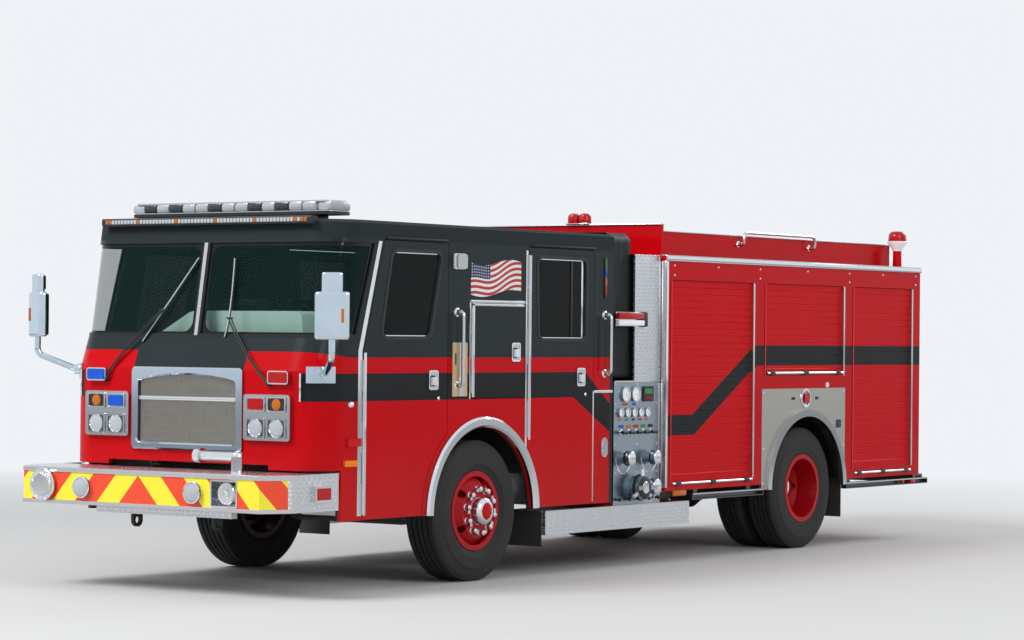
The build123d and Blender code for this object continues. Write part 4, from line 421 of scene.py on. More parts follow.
# %% Wheels, floors and shutters
def wheel_paint(name, axle_x, face_y, hub_y):
    """Red paint, with bright nuts beyond face_y, a bright hub beyond hub_y, and painted shade further
    inboard.
    """
    finish = Finish(name)
    radius, outer = distance(finish.x - axle_x, finish.z - WHEEL_Z), abs(finish.y)
    hub = (radius < 0.103) & (outer > hub_y)
    nut = radius.between(0.146, 0.19) & (outer > face_y + 0.0005)
    bright = hub | nut
    # Painted shade: the red is darker further inboard, behind the rim and on the inner twin.
    shaded_inboard = outer < hub_y - 0.05
    red = finish.blend(finish.noise(3, 5) * 0.2, srgb(176, 12, 22), srgb(96, 8, 12))
    colour = finish.blend(shaded_inboard, finish.blend(bright, red, BRIGHT), srgb(70, 12, 14))
    finish.set(Base_Color=colour, Metallic=bright, Roughness=0.3 - bright * 0.2 + finish.noise(20, 4) * 0.1)
    finish.set(Coat_Weight=0.1, Coat_Roughness=0.08, Specular_IOR_Level=0.15)
    finish.bump(finish.noise(300, 2), 0.06, 0.0005)
    return finish.material


def floor_finish():
    """A ribbed mat, over door steps of tread plate."""
    finish = Finish("cab floor")
    step = finish.z < 0.79
    mat = finish.blend(finish.noise(40, 4) * 0.4, srgb(44, 45, 47), srgb(66, 66, 68))
    finish.set(Base_Color=finish.blend(step, mat, BRIGHT), Metallic=step, Roughness=0.62 - step * 0.34)
    finish.bump(tread_height(finish) * step + finish.noise(300, 3) * (1 - step) * 0.3, 0.8, 0.002)
    return finish.material


def body_trim_finish():
    """Bright wheel panels, and red shutter frames whose rear upright is bright metal as a painted highlight.
    """
    finish = metal("body trim", STAINLESS, 0.2, (1, 1, 0.04), 300)
    x, y, z = finish.x - FRONT_AXLE, abs(finish.y), finish.z
    wheel = x.between(-5.64, -4.14) & (z < 1.43)
    # Painted highlight and shade: only the rear upright of each frame is bright, where the sun caught it; the
    # rest of the frame is red, in its shade.
    upright = x.between(-3.997, -3.979) | x.between(-5.602, -5.584) | x.between(-6.924, -6.906)
    bright = wheel & (y > 1.19) | upright | (x < -7.0)
    lip = (distance(x + WHEELBASE, z - WHEEL_Z) < 0.703) & (y > BODY_Y + 0.001)
    base = finish.blend(wheel & (1 - lip), finish.base(), srgb(182, 180, 172))
    shade = finish.blend(wheel, RED, srgb(20, 20, 21))
    finish.set(Base_Color=finish.blend(bright, shade, base), Metallic=bright, Roughness=0.24 - lip * 0.18)
    return finish.material


def masked_chrome(finish, mask, dark):
    """Lays a dull dark colour over chrome wherever the mask is 1, used for black paint and for painted shade.
    """
    shade = finish.blend(mask, finish.base(), dark)
    finish.set(Base_Color=shade, Metallic=1 - mask, Roughness=0.07 + mask * 0.4)
    return finish.material


def grille_finish():
    """Blue-tinged chrome, with painted shade darkening the louvres behind the screen."""
    finish = metal("grille chrome", srgb(198, 211, 224), 0.05, scale=18, wear=0.06)
    # Painted shade: the chrome behind the screen is painted dull dark grey.
    shade_behind_screen = (abs(finish.y) < 0.470) & finish.z.between(1.062, 1.57) & (finish.x < CAB_FACE + 0.004)
    return masked_chrome(finish, shade_behind_screen, srgb(30, 31, 32))


def fitting_finish():
    """Chrome, over tow eyes that are painted black."""
    finish = metal("bumper fittings", CHROME, 0.045, scale=18, wear=0.06)
    return masked_chrome(finish, finish.z < 0.575, srgb(18, 18, 19))


def pump_layout(finish):
    """Red, with painted shade in near-black beside the hose cover, behind the cab."""
    # Painted shade: the red module is painted near-black where it lies in shade beside the hose cover.
    dark = (finish.z > 1.51) & (finish.x > along(-2.19))
    return finish.blend(dark, RED, srgb(22, 23, 25))


def shutter_finish():
    """Painted slats, over a lift bar that is bright on the rear shutter."""
    finish = Finish("shutter paint")
    x, z = finish.x - FRONT_AXLE, finish.z
    bar = (x < -7.0) & (z < 0.762)
    finish.set(Base_Color=finish.blend(bar, body_layout(finish), BRIGHT), Metallic=bar)
    finish.set(Roughness=0.3 + finish.noise(40, 4, (0.1, 0.1, 1)) * 0.14)
    finish.set(Coat_Weight=0.05, Coat_Roughness=0.1, Specular_IOR_Level=0.06)
    finish.bump(finish.noise(260, 3, (0.05, 0.05, 1)), 0.08, 0.0006)
    return finish.material


front_wheel_paint = wheel_paint("front wheel", FRONT_AXLE, NUT_FACE, FRONT_TRACK + 0.155)
rear_wheel_paint = wheel_paint("rear wheel", REAR_AXLE, 0.932, 0.94)

# %% [markdown]
# The lamps of the head-lamp groups share one solid with their bezels and with the small lamps at the cab's
# corners. A mask on position gives each its colour, and what is left is bright metal.

# %% Head-lamp solids
def head_lamp_finish():
    finish = metal("lamp bezel", srgb(206, 209, 213), 0.12)
    x, y, z = finish.x, finish.y, finish.z
    single = z.between(1.515, 1.592) & (x > CAB_FACE + 0.024) & abs(y).between(0.792, 0.958)
    side = abs(y) > 1.221
    marker = side & (z < 1.0)
    painted = side & z.between(1.0, 1.2)
    flash = finish.blend(y > 0, srgb(22, 96, 226), srgb(206, 10, 16))
    colour = finish.blend(painted, finish.blend(marker, flash, AMBER), RED)
    plastic = single | marker | painted
    finish.set(Base_Color=finish.blend(plastic, finish.base(), colour), Metallic=1 - plastic)
    finish.set(Roughness=0.12 + painted * 0.3, Specular_IOR_Level=0.15)
    finish.bump(((y * 90).wave() + (z * 90).wave()) * plastic, 0.4, 0.002)
    return finish.material


# %% Give every solid its finish
finishes = {
    cab_paint: "cab_front cab_sides front_door_left front_door_right crew_door_left crew_door_right",
    paint("locker paint", cab_layout, CAB_Y + 0.0005): "locker_door_left locker_door_right",
    roof_paint: "cab_roof",
    paint("rear wall paint", plain(CHARCOAL)): "cab_rear",
    body_paint: "body_sides rear_box",
    red_paint: "hose_bed",
    paint("pump module paint", pump_layout): "pump_module",
    shutter_finish(): "shutters",
    bumper_tread: "bumper",
    tread: "tread_plates",
    body_trim_finish(): "body_trim",
    stainless: "locker_boxes",
    chrome_trim: "arch_trims",
    panel_steel: "pump_panels",
    dark_metal: "rub_rails",
    stainless_up: "grab_rails hand_rails",
    fitting_finish(): "bumper_fittings",
    grille_finish(): "grille",
    metal("mirror shell", srgb(206, 219, 230), 0.07, scale=6, wear=0.08).material: "mirrors",
    head_lamp_finish(): "head_lamps",
    lens_red: "body_lamps",
    lens_smoke: "lamp_bars",
    front_wheel_paint: "wheel_front_left wheel_front_right",
    rear_wheel_paint: "wheel_rear_left wheel_rear_right",
    tyre_rubber: "tyre_front_left tyre_front_right tyre_rear_left tyre_rear_right",
    chassis_black: "frame_rails front_axle leaf_springs rear_axle knuckle_left knuckle_right",
    casting_grey: "power_train radiator",
    metal("painted tank", srgb(150, 152, 154), 0.35).material: "chassis_tanks",
    tank_plastic: "water_tank",
    flap_rubber: "mud_flaps",
    floor_finish(): "cab_floor",
    cab_plastic: "dashboard",
    black_plastic: "steering_wheel crosslay_cover seats",
    side_glass: "front_door_glass_left front_door_glass_right crew_door_glass_left crew_door_glass_right",
    windscreen_glass: "windscreen",
}
for material, names in finishes.items():
    for name in names.split():
        data = nodes[name].data
        data.materials.clear()
        data.materials.append(material)
bare = sorted(set(nodes) - {n for names in finishes.values() for n in names.split()})
print("solids without a finish of their own:", bare)

# %% [markdown]
# ## Making a piece
# A fitting is a few simple shapes together: a plate with rounded corners, a bar, a turned cap, a bent tube.
# Each helper starts a bmesh, lets Blender's own operators shape it and hands it back. A Piece gathers such
# shapes, gives each its finish, mirrors them to the other side if asked, and rides on the body that carries
# it.

# %% Shapes
BEVEL = {"offset_type": "OFFSET", "profile": 0.5, "material": -1}


def block(x, y, z, bevel=0.002):
    """A box between pairs of coordinates, its edges rounded."""
    low, high = (Vector(corner) for corner in zip(x, y, z))
    bm = bmesh.new()
    bmesh.ops.create_cube(bm, size=1, matrix=Matrix.LocRotScale((low + high) / 2, None, high - low))
    if bevel:
        bmesh.ops.bevel(bm, geom=bm.edges[:], offset=bevel, segments=2, affect="EDGES", **BEVEL)
    return bm


def rod(start, end, radius, tip=None, sides=20):
    """A round bar between two points, which may taper to another radius."""
    start, end = Vector(start), Vector(end)
    turn = Vector((0, 0, 1)).rotation_difference(end - start).to_matrix().to_4x4()
    bm = bmesh.new()
    bmesh.ops.create_cone(
        bm, cap_ends=True, segments=sides, radius1=radius, radius2=radius if tip is None else tip,
        depth=(end - start).length, matrix=Matrix.Translation((start + end) / 2) @ turn,
    )
    return bm


def turned(profile, centre, axis, steps=40, closed=False):
    """A lathe shape: each pair of the profile is a distance along the axis and a radius."""
    centre, axis = Vector(centre), Vector(axis).normalized()
    out = axis.orthogonal().normalized()
    bm = bmesh.new()
    line = [bm.verts.new(centre + axis * reach + out * radius) for reach, radius in profile]
    edges = [bm.edges.new(pair) for pair in zip(line, line[1:] + line[:1] if closed else line[1:])]
    bmesh.ops.spin(
        bm, geom=line + edges, cent=centre, axis=axis, angle=2 * math.pi, steps=steps, use_merge=True
    )
    bmesh.ops.remove_doubles(bm, verts=bm.verts[:], dist=1e-5)
    if not closed:
        bmesh.ops.holes_fill(bm, edges=bm.edges[:], sides=0)
    bmesh.ops.recalc_face_normals(bm, faces=bm.faces[:])
    return bm


def plate(outline, normal, low, high, corner=0.0, grow=0.0, rim=0.0):
    """A flat shape with rounded corners, or only its rim, from low to high along its normal axis."""
    axis = "XYZ".index(normal)
    bm = bmesh.new()
    places = [list(point[:axis]) + [low] + list(point[axis:]) for point in outline]
    bm.faces.new([bm.verts.new(place) for place in places])
    if corner:
        bmesh.ops.bevel(bm, geom=bm.verts[:], offset=corner, segments=5, affect="VERTICES", **BEVEL)
    even = {"use_even_offset": True, "use_boundary": True}
    if grow:
        ring = bmesh.ops.inset_region(bm, faces=bm.faces[:], thickness=-grow, **even)["faces"]
        bmesh.ops.delete(bm, geom=ring, context="FACES")
    if rim:
        middle = bm.faces[:]
        bmesh.ops.inset_region(bm, faces=middle, thickness=rim, **even)
        bmesh.ops.delete(bm, geom=middle, context="FACES")
    risen = bmesh.ops.extrude_face_region(bm, geom=bm.faces[:])["geom"]
    rise = [0.0, 0.0, 0.0]
    rise[axis] = high - low
    bmesh.ops.translate(bm, vec=rise, verts=[g for g in risen if isinstance(g, bmesh.types.BMVert)])
    return bm


def rect(u, v, width, height):
    """The corners of a rectangle round a middle point."""
    left, right, bottom, top = u - width / 2, u + width / 2, v - height / 2, v + height / 2
    return [(left, bottom), (right, bottom), (right, top), (left, top)]


def tube(points, radius, order=3, steps=4):
    """A bent bar of round section: a smooth curve through or near its points, made a mesh."""
    curve = bpy.data.curves.new("tube", "CURVE")
    curve.dimensions, curve.bevel_depth, curve.bevel_resolution = "3D", radius, 2
    curve.use_fill_caps, curve.resolution_u = True, steps
    spline = curve.splines.new("NURBS")
    spline.points.add(len(points) - 1)
    for point, place in zip(spline.points, points):
        point.co = (*place, 1)
    spline.use_endpoint_u, spline.order_u, spline.resolution_u = True, order, steps
    holder = bpy.data.objects.new("tube", curve)
    bm = bmesh.new()
    bm.from_mesh(bpy.data.meshes.new_from_object(holder))
    bpy.data.objects.remove(holder)
    bmesh.ops.remove_doubles(bm, verts=bm.verts[:], dist=1e-5)
    return bm


# %% A piece that gathers shapes
def merge(target, shape):
    """Adds the faces of one bmesh to another, and frees the first."""
    part = bpy.data.meshes.new("part")
    shape.to_mesh(part)
    shape.free()
    target.from_mesh(part)
    bpy.data.meshes.remove(part)


def show(name, data):
    """An object in the scene, at the origin."""
    thing = bpy.data.objects.new(name, data)
    bpy.context.scene.collection.objects.link(thing)
    return thing


class Piece:
    """Shapes gathered in one mesh, which rides on a body. The slot is stored but not used."""

    def __init__(self, name, body, slot, *materials):
        self.name, self.body, self.slot = name, body, slot
        self.mesh = bpy.data.meshes.new(name)
        for material in materials:
            self.mesh.materials.append(material)
        self.bm = bmesh.new()

    def add(self, shape, finish=0, sides=(1,)):
        for side in sides:
            copy = shape.copy()
            bmesh.ops.scale(copy, vec=(1, side, 1), verts=copy.verts[:])
            bmesh.ops.recalc_face_normals(copy, faces=copy.faces[:])
            for face in copy.faces:
                face.material_index, face.smooth = finish, True
            merge(self.bm, copy)
        shape.free()

    def bar(self, x, y, z, bevel=0.002, finish=0, sides=BOTH):
        """A rounded block between pairs of coordinates, with X given ahead of the front axle."""
        self.add(block([along(end) for end in x], y, z, bevel), finish, sides)

    def sheet(self, normal, middle, size, reach, corner=0.0, finish=0, sides=BOTH, rim=0.0):
        """A rounded plate by its middle and size, which reaches between two places along its normal."""
        self.add(plate(rect(*middle, *size), normal, *reach, corner, rim=rim), finish, sides)

    def lathe(self, profile, place, axis=ACROSS, steps=40, finish=0, sides=BOTH, closed=False):
        """A turned shape, which stands out from both sides of the engine unless its axis says otherwise."""
        self.add(turned(profile, place, axis, steps, closed), finish, sides)

    def done(self, *replaced, sharp=35):
        self.bm.to_mesh(self.mesh)
        self.bm.free()
        self.mesh.set_sharp_from_angle(angle=math.radians(sharp))
        piece = show(self.name, self.mesh)
        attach(piece, self.body)
        if replaced:
            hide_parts(*replaced)
        print(self.name, len(self.mesh.polygons), "faces")


# %% [markdown]
# ## Tyres
# A truck tyre is a body of revolution with a pattern cut into its tread. The section is spun round the axle
# from a few points: bead, bulging sidewall with two thin rings, shoulder, and ribs parted by grooves. The
# ribs' faces are then inset one by one and raised, which turns each into a tread block. Steering tyres have
# fine blocks close together and driving tyres have coarse ones.

# %% Treaded tyres
def tyre_shape(axle_x, middle, width, blocks, gap):
    half, tread = width / 2, width / 2 - 0.036
    side = [
        (0.118, 0.287), (0.1245, 0.300), (0.129, 0.306), (0.1360, 0.318), (0.1375, 0.326),
        (half - 0.006, 0.352), (half - 0.002, 0.356), (half, 0.405), (half - 0.001, 0.440),
        (half - 0.006, 0.446), (half - 0.008, 0.466), (half - 0.014, 0.490), (half - 0.022, 0.510),
        (half - 0.029, 0.522), (tread, 0.5265),
    ]
    for part in (0.64, 0.24):
        side += [(tread * part, 0.5265), (tread * part - 0.003, 0.514), (tread * part - 0.010, 0.514)]
        side += [(tread * part - 0.013, 0.5265)]
    profile = [(-across, radius) for across, radius in side] + side[::-1]
    centre = Vector((axle_x, middle, WHEEL_Z))
    bm = turned(profile, centre, ACROSS, blocks, closed=True)
    ribs = []
    for face in bm.faces:
        out = face.calc_center_median() - centre
        if math.hypot(out.x, out.z) > 0.5255 and abs(face.normal.y) < 0.2:
            ribs.append(face)
    bmesh.ops.inset_individual(bm, faces=ribs, thickness=gap, depth=0.0083, use_even_offset=True)
    return bm


TWIN_GAP = 0.165
for side, sign in SIDES.items():
    piece = Piece(f"treaded_tyre_front_{side}", f"wheel_front_{side}", "tyre_rubber", tyre_rubber)
    piece.add(tyre_shape(FRONT_AXLE, FRONT_TRACK, 0.315, 110, 0.0012), sides=(sign,))
    piece.done(f"tyre_front_{side}")
    piece = Piece(f"treaded_tyres_rear_{side}", f"wheel_rear_{side}", "tyre_rubber", tyre_rubber)
    for middle in (REAR_TRACK - TWIN_GAP, REAR_TRACK + TWIN_GAP):
        piece.add(tyre_shape(REAR_AXLE, middle, 0.285, 76, 0.0034), sides=(sign,))
    piece.done(f"tyre_rear_{side}")

# %% [markdown]
# ## Lamps on the nose
# Each head-lamp group holds a round amber signal, a square flashing lens that is red on the left and blue
# on the right, and two clear lamps below. The bezels are already solids, so only lenses are added: a thin
# plate with round corners, and turned domes over bright bowls.

# %% Head-lamp lenses
LOW_Z, SIGNAL_Z, SINGLE = 1.188, 1.360, (0.875, 1.553)
BLOCK_FACE = CAB_FACE + 0.032
lenses = Piece(
    "head_lamp_lenses", "cab", "lamp_clear", lens_clear, lens_amber, lens_red, lens_blue, chrome,
    black_plastic, dark_metal,
)
bowl = [(0, 0.066), (0.005, 0.065), (0.0062, 0.061), (0.001, 0.058)]
dome = [(0.001, 0.060), (0.005, 0.054), (0.0075, 0.032), (0.0085, 0.0)]
for lamp_y in (0.673, 0.867):
    lenses.sheet("X", (lamp_y, LOW_Z), (0.158, 0.138), (BLOCK_FACE, BLOCK_FACE + 0.002), 0.012, 6)
    for lamp_z, tall in ((LOW_Z, 0.150), (SIGNAL_Z, 0.112)):
        reach = (BLOCK_FACE, BLOCK_FACE + 0.007)
        lenses.sheet("X", (lamp_y, lamp_z), (0.172, tall), reach, 0.014, 4, rim=0.008)
    lenses.lathe(bowl, (BLOCK_FACE + 0.002, lamp_y, LOW_Z), AHEAD, finish=4)
    lenses.lathe(dome, (BLOCK_FACE + 0.001, lamp_y, LOW_Z), AHEAD)
lenses.sheet("X", (0.867, SIGNAL_Z), (0.146, 0.088), (BLOCK_FACE, BLOCK_FACE + 0.003), 0.012, 5)
amber = [(0, 0.041), (0.004, 0.040), (0.0075, 0.030), (0.009, 0.0)]
lenses.lathe(amber, (BLOCK_FACE + 0.002, 0.867, SIGNAL_Z), AHEAD, finish=1)
lenses.sheet("X", SINGLE, (0.190, 0.096), (CAB_FACE + 0.0315, CAB_FACE + 0.036), 0.02, 4, rim=0.008)
for side, colour in ((1, 2), (-1, 3)):
    reach = (BLOCK_FACE, BLOCK_FACE + 0.008)
    lenses.sheet("X", (0.673, SIGNAL_Z), (0.134, 0.080), reach, 0.014, colour, (side,))
    lenses.sheet("X", SINGLE, (0.168, 0.076), (CAB_FACE + 0.031, CAB_FACE + 0.041), 0.016, colour, (side,))
lenses.done()

# %% [markdown]
# ## Grille
# Behind the bright frame lies a fine screen that keeps stones out of the radiator. It is a weave of thin
# wires, so it is made of as many thin bars, close enough to read as a screen yet open enough to show the
# louvres.

# %% Grille screen
screen_wire = metal("screen wire", srgb(178, 173, 164), 0.34).material
screen = Piece("grille_screen", "cab", "chrome", screen_wire, chrome)
FRAME_Y, WIRE, ROWS, COLUMNS = 0.468, 0.0021, 72, 78
wire_x = (CAB_FACE - 0.0018, CAB_FACE - 0.0004)
for row in range(ROWS):
    z = 1.066 + row * 0.007
    screen.add(block(wire_x, (-FRAME_Y, FRAME_Y), (z - WIRE, z + WIRE), 0))
for column in range(COLUMNS):
    y = -FRAME_Y + (column + 0.5) * 2 * FRAME_Y / COLUMNS
    screen.add(block(wire_x, (y - WIRE / 2, y + WIRE / 2), (1.064, 1.568), 0))
screen.add(block((CAB_FACE - 0.001, CAB_FACE + 0.012), (-0.466, 0.466), (1.372, 1.400), 0.003), 1)
screen.done()

# %% [markdown]
# ## Lamps on the roof
# The long roof bar is a tray with clear domes along both edges, some of them smoked, and a low lid. It
# stands on feet that clear the roof. Below it, a slim housing over the windscreen carries a row of small
# white lamps with amber ones at its ends and between them. The plain solids of both are replaced.

# %% Roof bar and brow lamps
brow_black = moulded("brow housing", srgb(24, 27, 30), 0.3, 300, 0.1)
dark_lens = lens("dark lens", srgb(70, 84, 90))
bar = Piece(
    "roof_lamps", "cab", "lamp_clear", lens_clear, dark_lens, stainless, black_plastic, brow_black, lens_amber
)
BAR_X, BAR_HALF, BAR_LOW, BAR_HIGH = along(1.400), 0.968, 2.735, 2.840
bar.add(plate(rect(BAR_X, 0, 0.296, 2 * BAR_HALF), "Z", BAR_LOW, BAR_LOW + 0.024, 0.08), 3)
bar.add(plate(rect(BAR_X, 0, 0.284, 2 * BAR_HALF - 0.012), "Z", BAR_LOW + 0.024, BAR_LOW + 0.030, 0.074), 2)
bar.add(plate(rect(BAR_X, 0, 0.250, 2 * BAR_HALF - 0.05), "Z", BAR_HIGH - 0.012, BAR_HIGH, 0.06), 2)
MODULES, DARK = 15, (1, 3, 6, 9, 11)
step = 2 * (BAR_HALF - 0.004) / MODULES
for place in range(MODULES):
    y = -BAR_HALF + 0.004 + (place + 0.5) * step
    end = place in (0, MODULES - 1)
    deep = 0.120 if end else 0.142
    shape = block((BAR_X - deep, BAR_X + deep), (y - step / 2 + 0.002, y + step / 2 - 0.002),
                  (BAR_LOW + 0.030, BAR_HIGH - 0.010), 0.018)
    bar.add(shape, 1 if place in DARK else 0)
for foot_y in (-0.72, 0.0, 0.72):
    bar.add(block((BAR_X - 0.10, BAR_X + 0.10), (foot_y - 0.05, foot_y + 0.05), (2.694, BAR_LOW), 0.006), 3)
BROW_Y = 1.008
brow = [(along(1.712), 2.694), (along(1.735), 2.714), (along(1.798), 2.717), (along(1.809), 2.708),
        (along(1.809), 2.672), (along(1.796), 2.657), (along(1.752), 2.656)]
bar.add(plate(brow, "Y", -BROW_Y, BROW_Y, 0.004), 4)
LEDS = 62
for place in range(LEDS):
    y = -0.975 + (place + 0.5) * 1.95 / LEDS
    amber = place in (0, 1, LEDS - 2, LEDS - 1) or place % 12 == 10
    shape = block((along(1.806), along(1.8099)), (y - 0.013, y + 0.013), (2.674, 2.704), 0.0018)
    bar.add(shape, 5 if amber else 0)
bar.done("lamp_bars")

# %% [markdown]
# ## Wipers
# Each wiper stands on a spindle low on the nose, and two parallel arms carry its blade up the glass. The
# nose leans back more above its waist, so a short function gives the surface's place at any height, and
# every point of an arm stands a little ahead of it.

# %% Wipers
def nose_x(z):
    """Where the cab's front surface stands at a height."""
    lower = min(max(z - 1.600, 0), 0.235) * 0.362
    upper = min(max(z - 1.835, 0), 0.725) * 0.1655
    return CAB_FACE - lower - upper


def before_nose(y, z, gap=0.032):
    return Vector((nose_x(z) + gap, y, z))


WIPERS = {
    "left": [(0.777, 1.511), (0.446, 1.781), (0.330, 1.976), (0.285, 1.840), (0.295, 2.412)],
    "right": [(-0.789, 1.522), (-0.672, 1.733), (-0.329, 2.032), (-0.500, 1.800), (-0.050, 2.420)],
}
for side, (spindle, elbow, hand, foot, tip) in WIPERS.items():
    wiper = Piece(f"wiper_{side}", "cab", "black_plastic", black_plastic, stainless)
    spindle_x = nose_x(spindle[1])
    cap = [(0, 0.024), (0.018, 0.022), (0.034, 0.014), (0.038, 0)]
    wiper.lathe(cap, (spindle_x, *spindle), AHEAD, sides=(1,))
    for shift in (-0.012, 0.012):
        route = [before_nose(y + shift, z, 0.030) for y, z in (spindle, elbow, hand)]
        wiper.add(tube(route, 0.0055))
    wiper.add(rod(before_nose(hand[0] - 0.025, hand[1]), before_nose(hand[0] + 0.025, hand[1]), 0.007))
    arm = [before_nose(*foot, 0.012), before_nose(*hand, 0.020), before_nose(*tip, 0.012)]
    wiper.add(tube(arm, 0.006), 1)
    wiper.add(tube([before_nose(*foot, 0.006), before_nose(*hand, 0.010), before_nose(*tip, 0.006)], 0.0075))
    wiper.done()

# %% [markdown]
# A bright strip covers the joint between the two panes. It is a thin outline that follows the nose's slope,
# pulled out sideways.

# %% Windscreen post
post = Piece("windscreen_post", "cab", "brushed_steel", stainless_up)
cover_strip = [(nose_x(1.85) + 0.001, 1.85), (nose_x(2.53) + 0.001, 2.53), (nose_x(2.53) + 0.006, 2.53),
               (nose_x(1.85) + 0.006, 1.85)]
post.add(plate(cover_strip, "Y", -0.016, 0.016))
post.done()

# %% [markdown]
# ## Doors
# A cab door carries more than its sheet: a rubber seal round the window with a slim bright lip inside it, a
# full-length hinge leaf, a paddle in a bright pocket, and on the crew door the bars of a sliding pane. All
# these swing with the door, so they are made for the left side and mirrored for the right one. Coordinates
# are those of the door in the photograph, ahead of the front axle.

# %% Door trim
def window_trim(piece, corners, side):
    """A rubber seal round the window, with a slim bright lip inside it."""
    outline = [(along(x), z) for x, z in corners]
    piece.add(plate(outline, "Y", CAB_Y - 0.012, CAB_Y + 0.0035, 0.06, 0.020, 0.027), 0, (side,))
    piece.add(plate(outline, "Y", CAB_Y - 0.014, CAB_Y - 0.006, 0.05, -0.006, 0.007), 1, (side,))


def paddle(piece, x, z, side):
    """The pocket's rim, its dark inside and the lever that a hand pulls."""
    for shift_x, shift_z, size, low, high, corner, rim, finish in (
        (0, 0, (0.116, 0.146), 0, 0.012, 0.022, 0.012, 1),
        (0.012, -0.006, (0.062, 0.082), 0.009, 0.0095, 0.01, 0, 2),
        (-0.004, -0.008, (0.060, 0.060), 0.014, 0.0225, 0.012, 0, 1),
    ):
        middle = (along(x) + shift_x, z + shift_z)
        piece.sheet("Y", middle, size, (CAB_Y + low, CAB_Y + high), corner, finish, (side,), rim)


def key_barrel(piece, x, z, side):
    cap = [(0, 0.014), (0.005, 0.014), (0.008, 0.010), (0.008, 0)]
    piece.lathe(cap, (along(x), CAB_Y, z), steps=24, finish=1, sides=(side,))


FRONT_WINDOW = [(1.110, 2.478), (1.237, 1.850), (0.649, 1.850), (0.505, 2.478)]
CREW_WINDOW = [(-0.749, 2.478), (-0.772, 1.845), (-1.433, 1.845), (-1.437, 2.478)]
LEAF, BAR_Y = (CAB_Y, CAB_Y + 0.003), (CAB_Y - 0.014, CAB_Y - 0.008)
for side, sign in SIDES.items():
    trim = Piece(
        f"front_door_trim_{side}", f"front_door_{side}", "black_rubber", seal_rubber, chrome, black_plastic
    )
    window_trim(trim, FRONT_WINDOW, sign)
    paddle(trim, 0.612, 1.532, sign)
    key_barrel(trim, 0.540, 1.395, sign)
    trim.bar((1.413, 1.444), LEAF, (0.56, 1.735), 0.001, 1, (sign,))
    trim.done()
    trim = Piece(
        f"crew_door_trim_{side}", f"crew_door_{side}", "black_rubber", seal_rubber, chrome, black_plastic
    )
    window_trim(trim, CREW_WINDOW, sign)
    paddle(trim, -1.353, 1.544, sign)
    key_barrel(trim, -1.425, 1.405, sign)
    for finish_place, bar_x in enumerate((-1.235, -1.385)):
        trim.bar((bar_x - 0.013, bar_x + 0.013), BAR_Y, (1.85, 2.47), 0.002, finish_place, (sign,))
    trim.bar((-0.662, -0.634), LEAF, (1.06, 2.49), 0.001, 1, (sign,))
    trim.done()
    trim = Piece(
        f"locker_door_trim_{side}", f"locker_door_{side}", "brushed_steel", seal_rubber, chrome, black_plastic
    )
    paddle(trim, -0.450, 1.741, sign)
    trim.bar((0.086, 0.117), LEAF, (1.40, 2.105), 0.001, 1, (sign,))
    trim.bar((-0.570, 0.117), LEAF, (2.092, 2.110), 0.001, 1, (sign,))
    trim.done()

# %% [markdown]
# ## Cab sides
# The bright strips that stand out against the dark paint are hinge tubes and edge guards: down the front of
# both doors, round the locker and along the raked pillar. With them go the pieces fixed between the doors:
# a white scene lamp, the coloured tank gauge, the scuff plate behind the grab rail, the rail's flanges,
# drip rails over the doors and an oval charging flap.

# %% Cab side trim
WHITE = srgb(236, 238, 240)
scene_white = moulded("lamp white", WHITE, 0.25, 60, 0.05)
tan_finish = metal("worn scuff plate", srgb(206, 178, 136), 0.42, (1, 1, 0.1), 200)
scuff_tan = tan_finish.set(Metallic=0.35).material
trim = Piece(
    "cab_side_trim", "cab", "brushed_steel", chrome, stainless_up, scuff_tan, black_plastic, scene_white,
    lens_clear, lens_amber, lens_red, lens_blue, lens_green, seal_rubber,
)
SHEET = (CAB_Y - 0.001, CAB_Y + 0.003)
guard = [(along(1.464), 0.56), (along(1.512), 0.56), (along(1.512), 1.745), (along(1.281), 2.545),
         (along(1.241), 2.545), (along(1.466), 1.745)]
trim.add(plate(guard, "Y", *SHEET), 0, BOTH)
for hinge_x, low, high in ((1.4545, 0.62, 1.70), (-0.6235, 1.10, 2.46), (0.1275, 1.43, 2.08)):
    middle, reach = (low + high) / 2, (high - low) / 2
    for ends in ((middle - reach * 0.62, middle - 0.055), (middle + 0.055, middle + reach * 0.62)):
        trim.add(rod(*[(along(hinge_x), 1.230, z) for z in ends], 0.0075), 0, BOTH)
for x, z, finish_place in (
    ((-0.613, -0.588), (0.985, 2.53), 0),
    ((-0.588, 0.150), (2.114, 2.136), 0),
    ((0.136, 0.152), (1.386, 2.136), 0),
    ((-1.548, -1.532), (0.545, 1.43), 1),
):
    trim.bar(x, SHEET, z, 0.001, finish_place)
trim.bar((-1.815, -1.548), (CAB_Y, CAB_Y + 0.008), (1.415, 1.437))
# Scene lamp: a square dome on a bracket
trim.bar((0.238, 0.374), (CAB_Y, CAB_Y + 0.030), (2.362, 2.482), 0.012, 4)
trim.sheet("Y", (along(0.306), 2.422), (0.124, 0.108), (CAB_Y + 0.028, CAB_Y + 0.046), 0.02, 5)
# Tank gauge: four colours in a slim housing
trim.bar((-1.716, -1.684), (CAB_Y, CAB_Y + 0.010), (2.175, 2.505), 0.004, 3)
for place, colour in enumerate((7, 6, 8, 9)):
    low = 2.205 + place * 0.070
    trim.bar((-1.711, -1.689), (CAB_Y + 0.008, CAB_Y + 0.014), (low, low + 0.064), 0.003, colour)
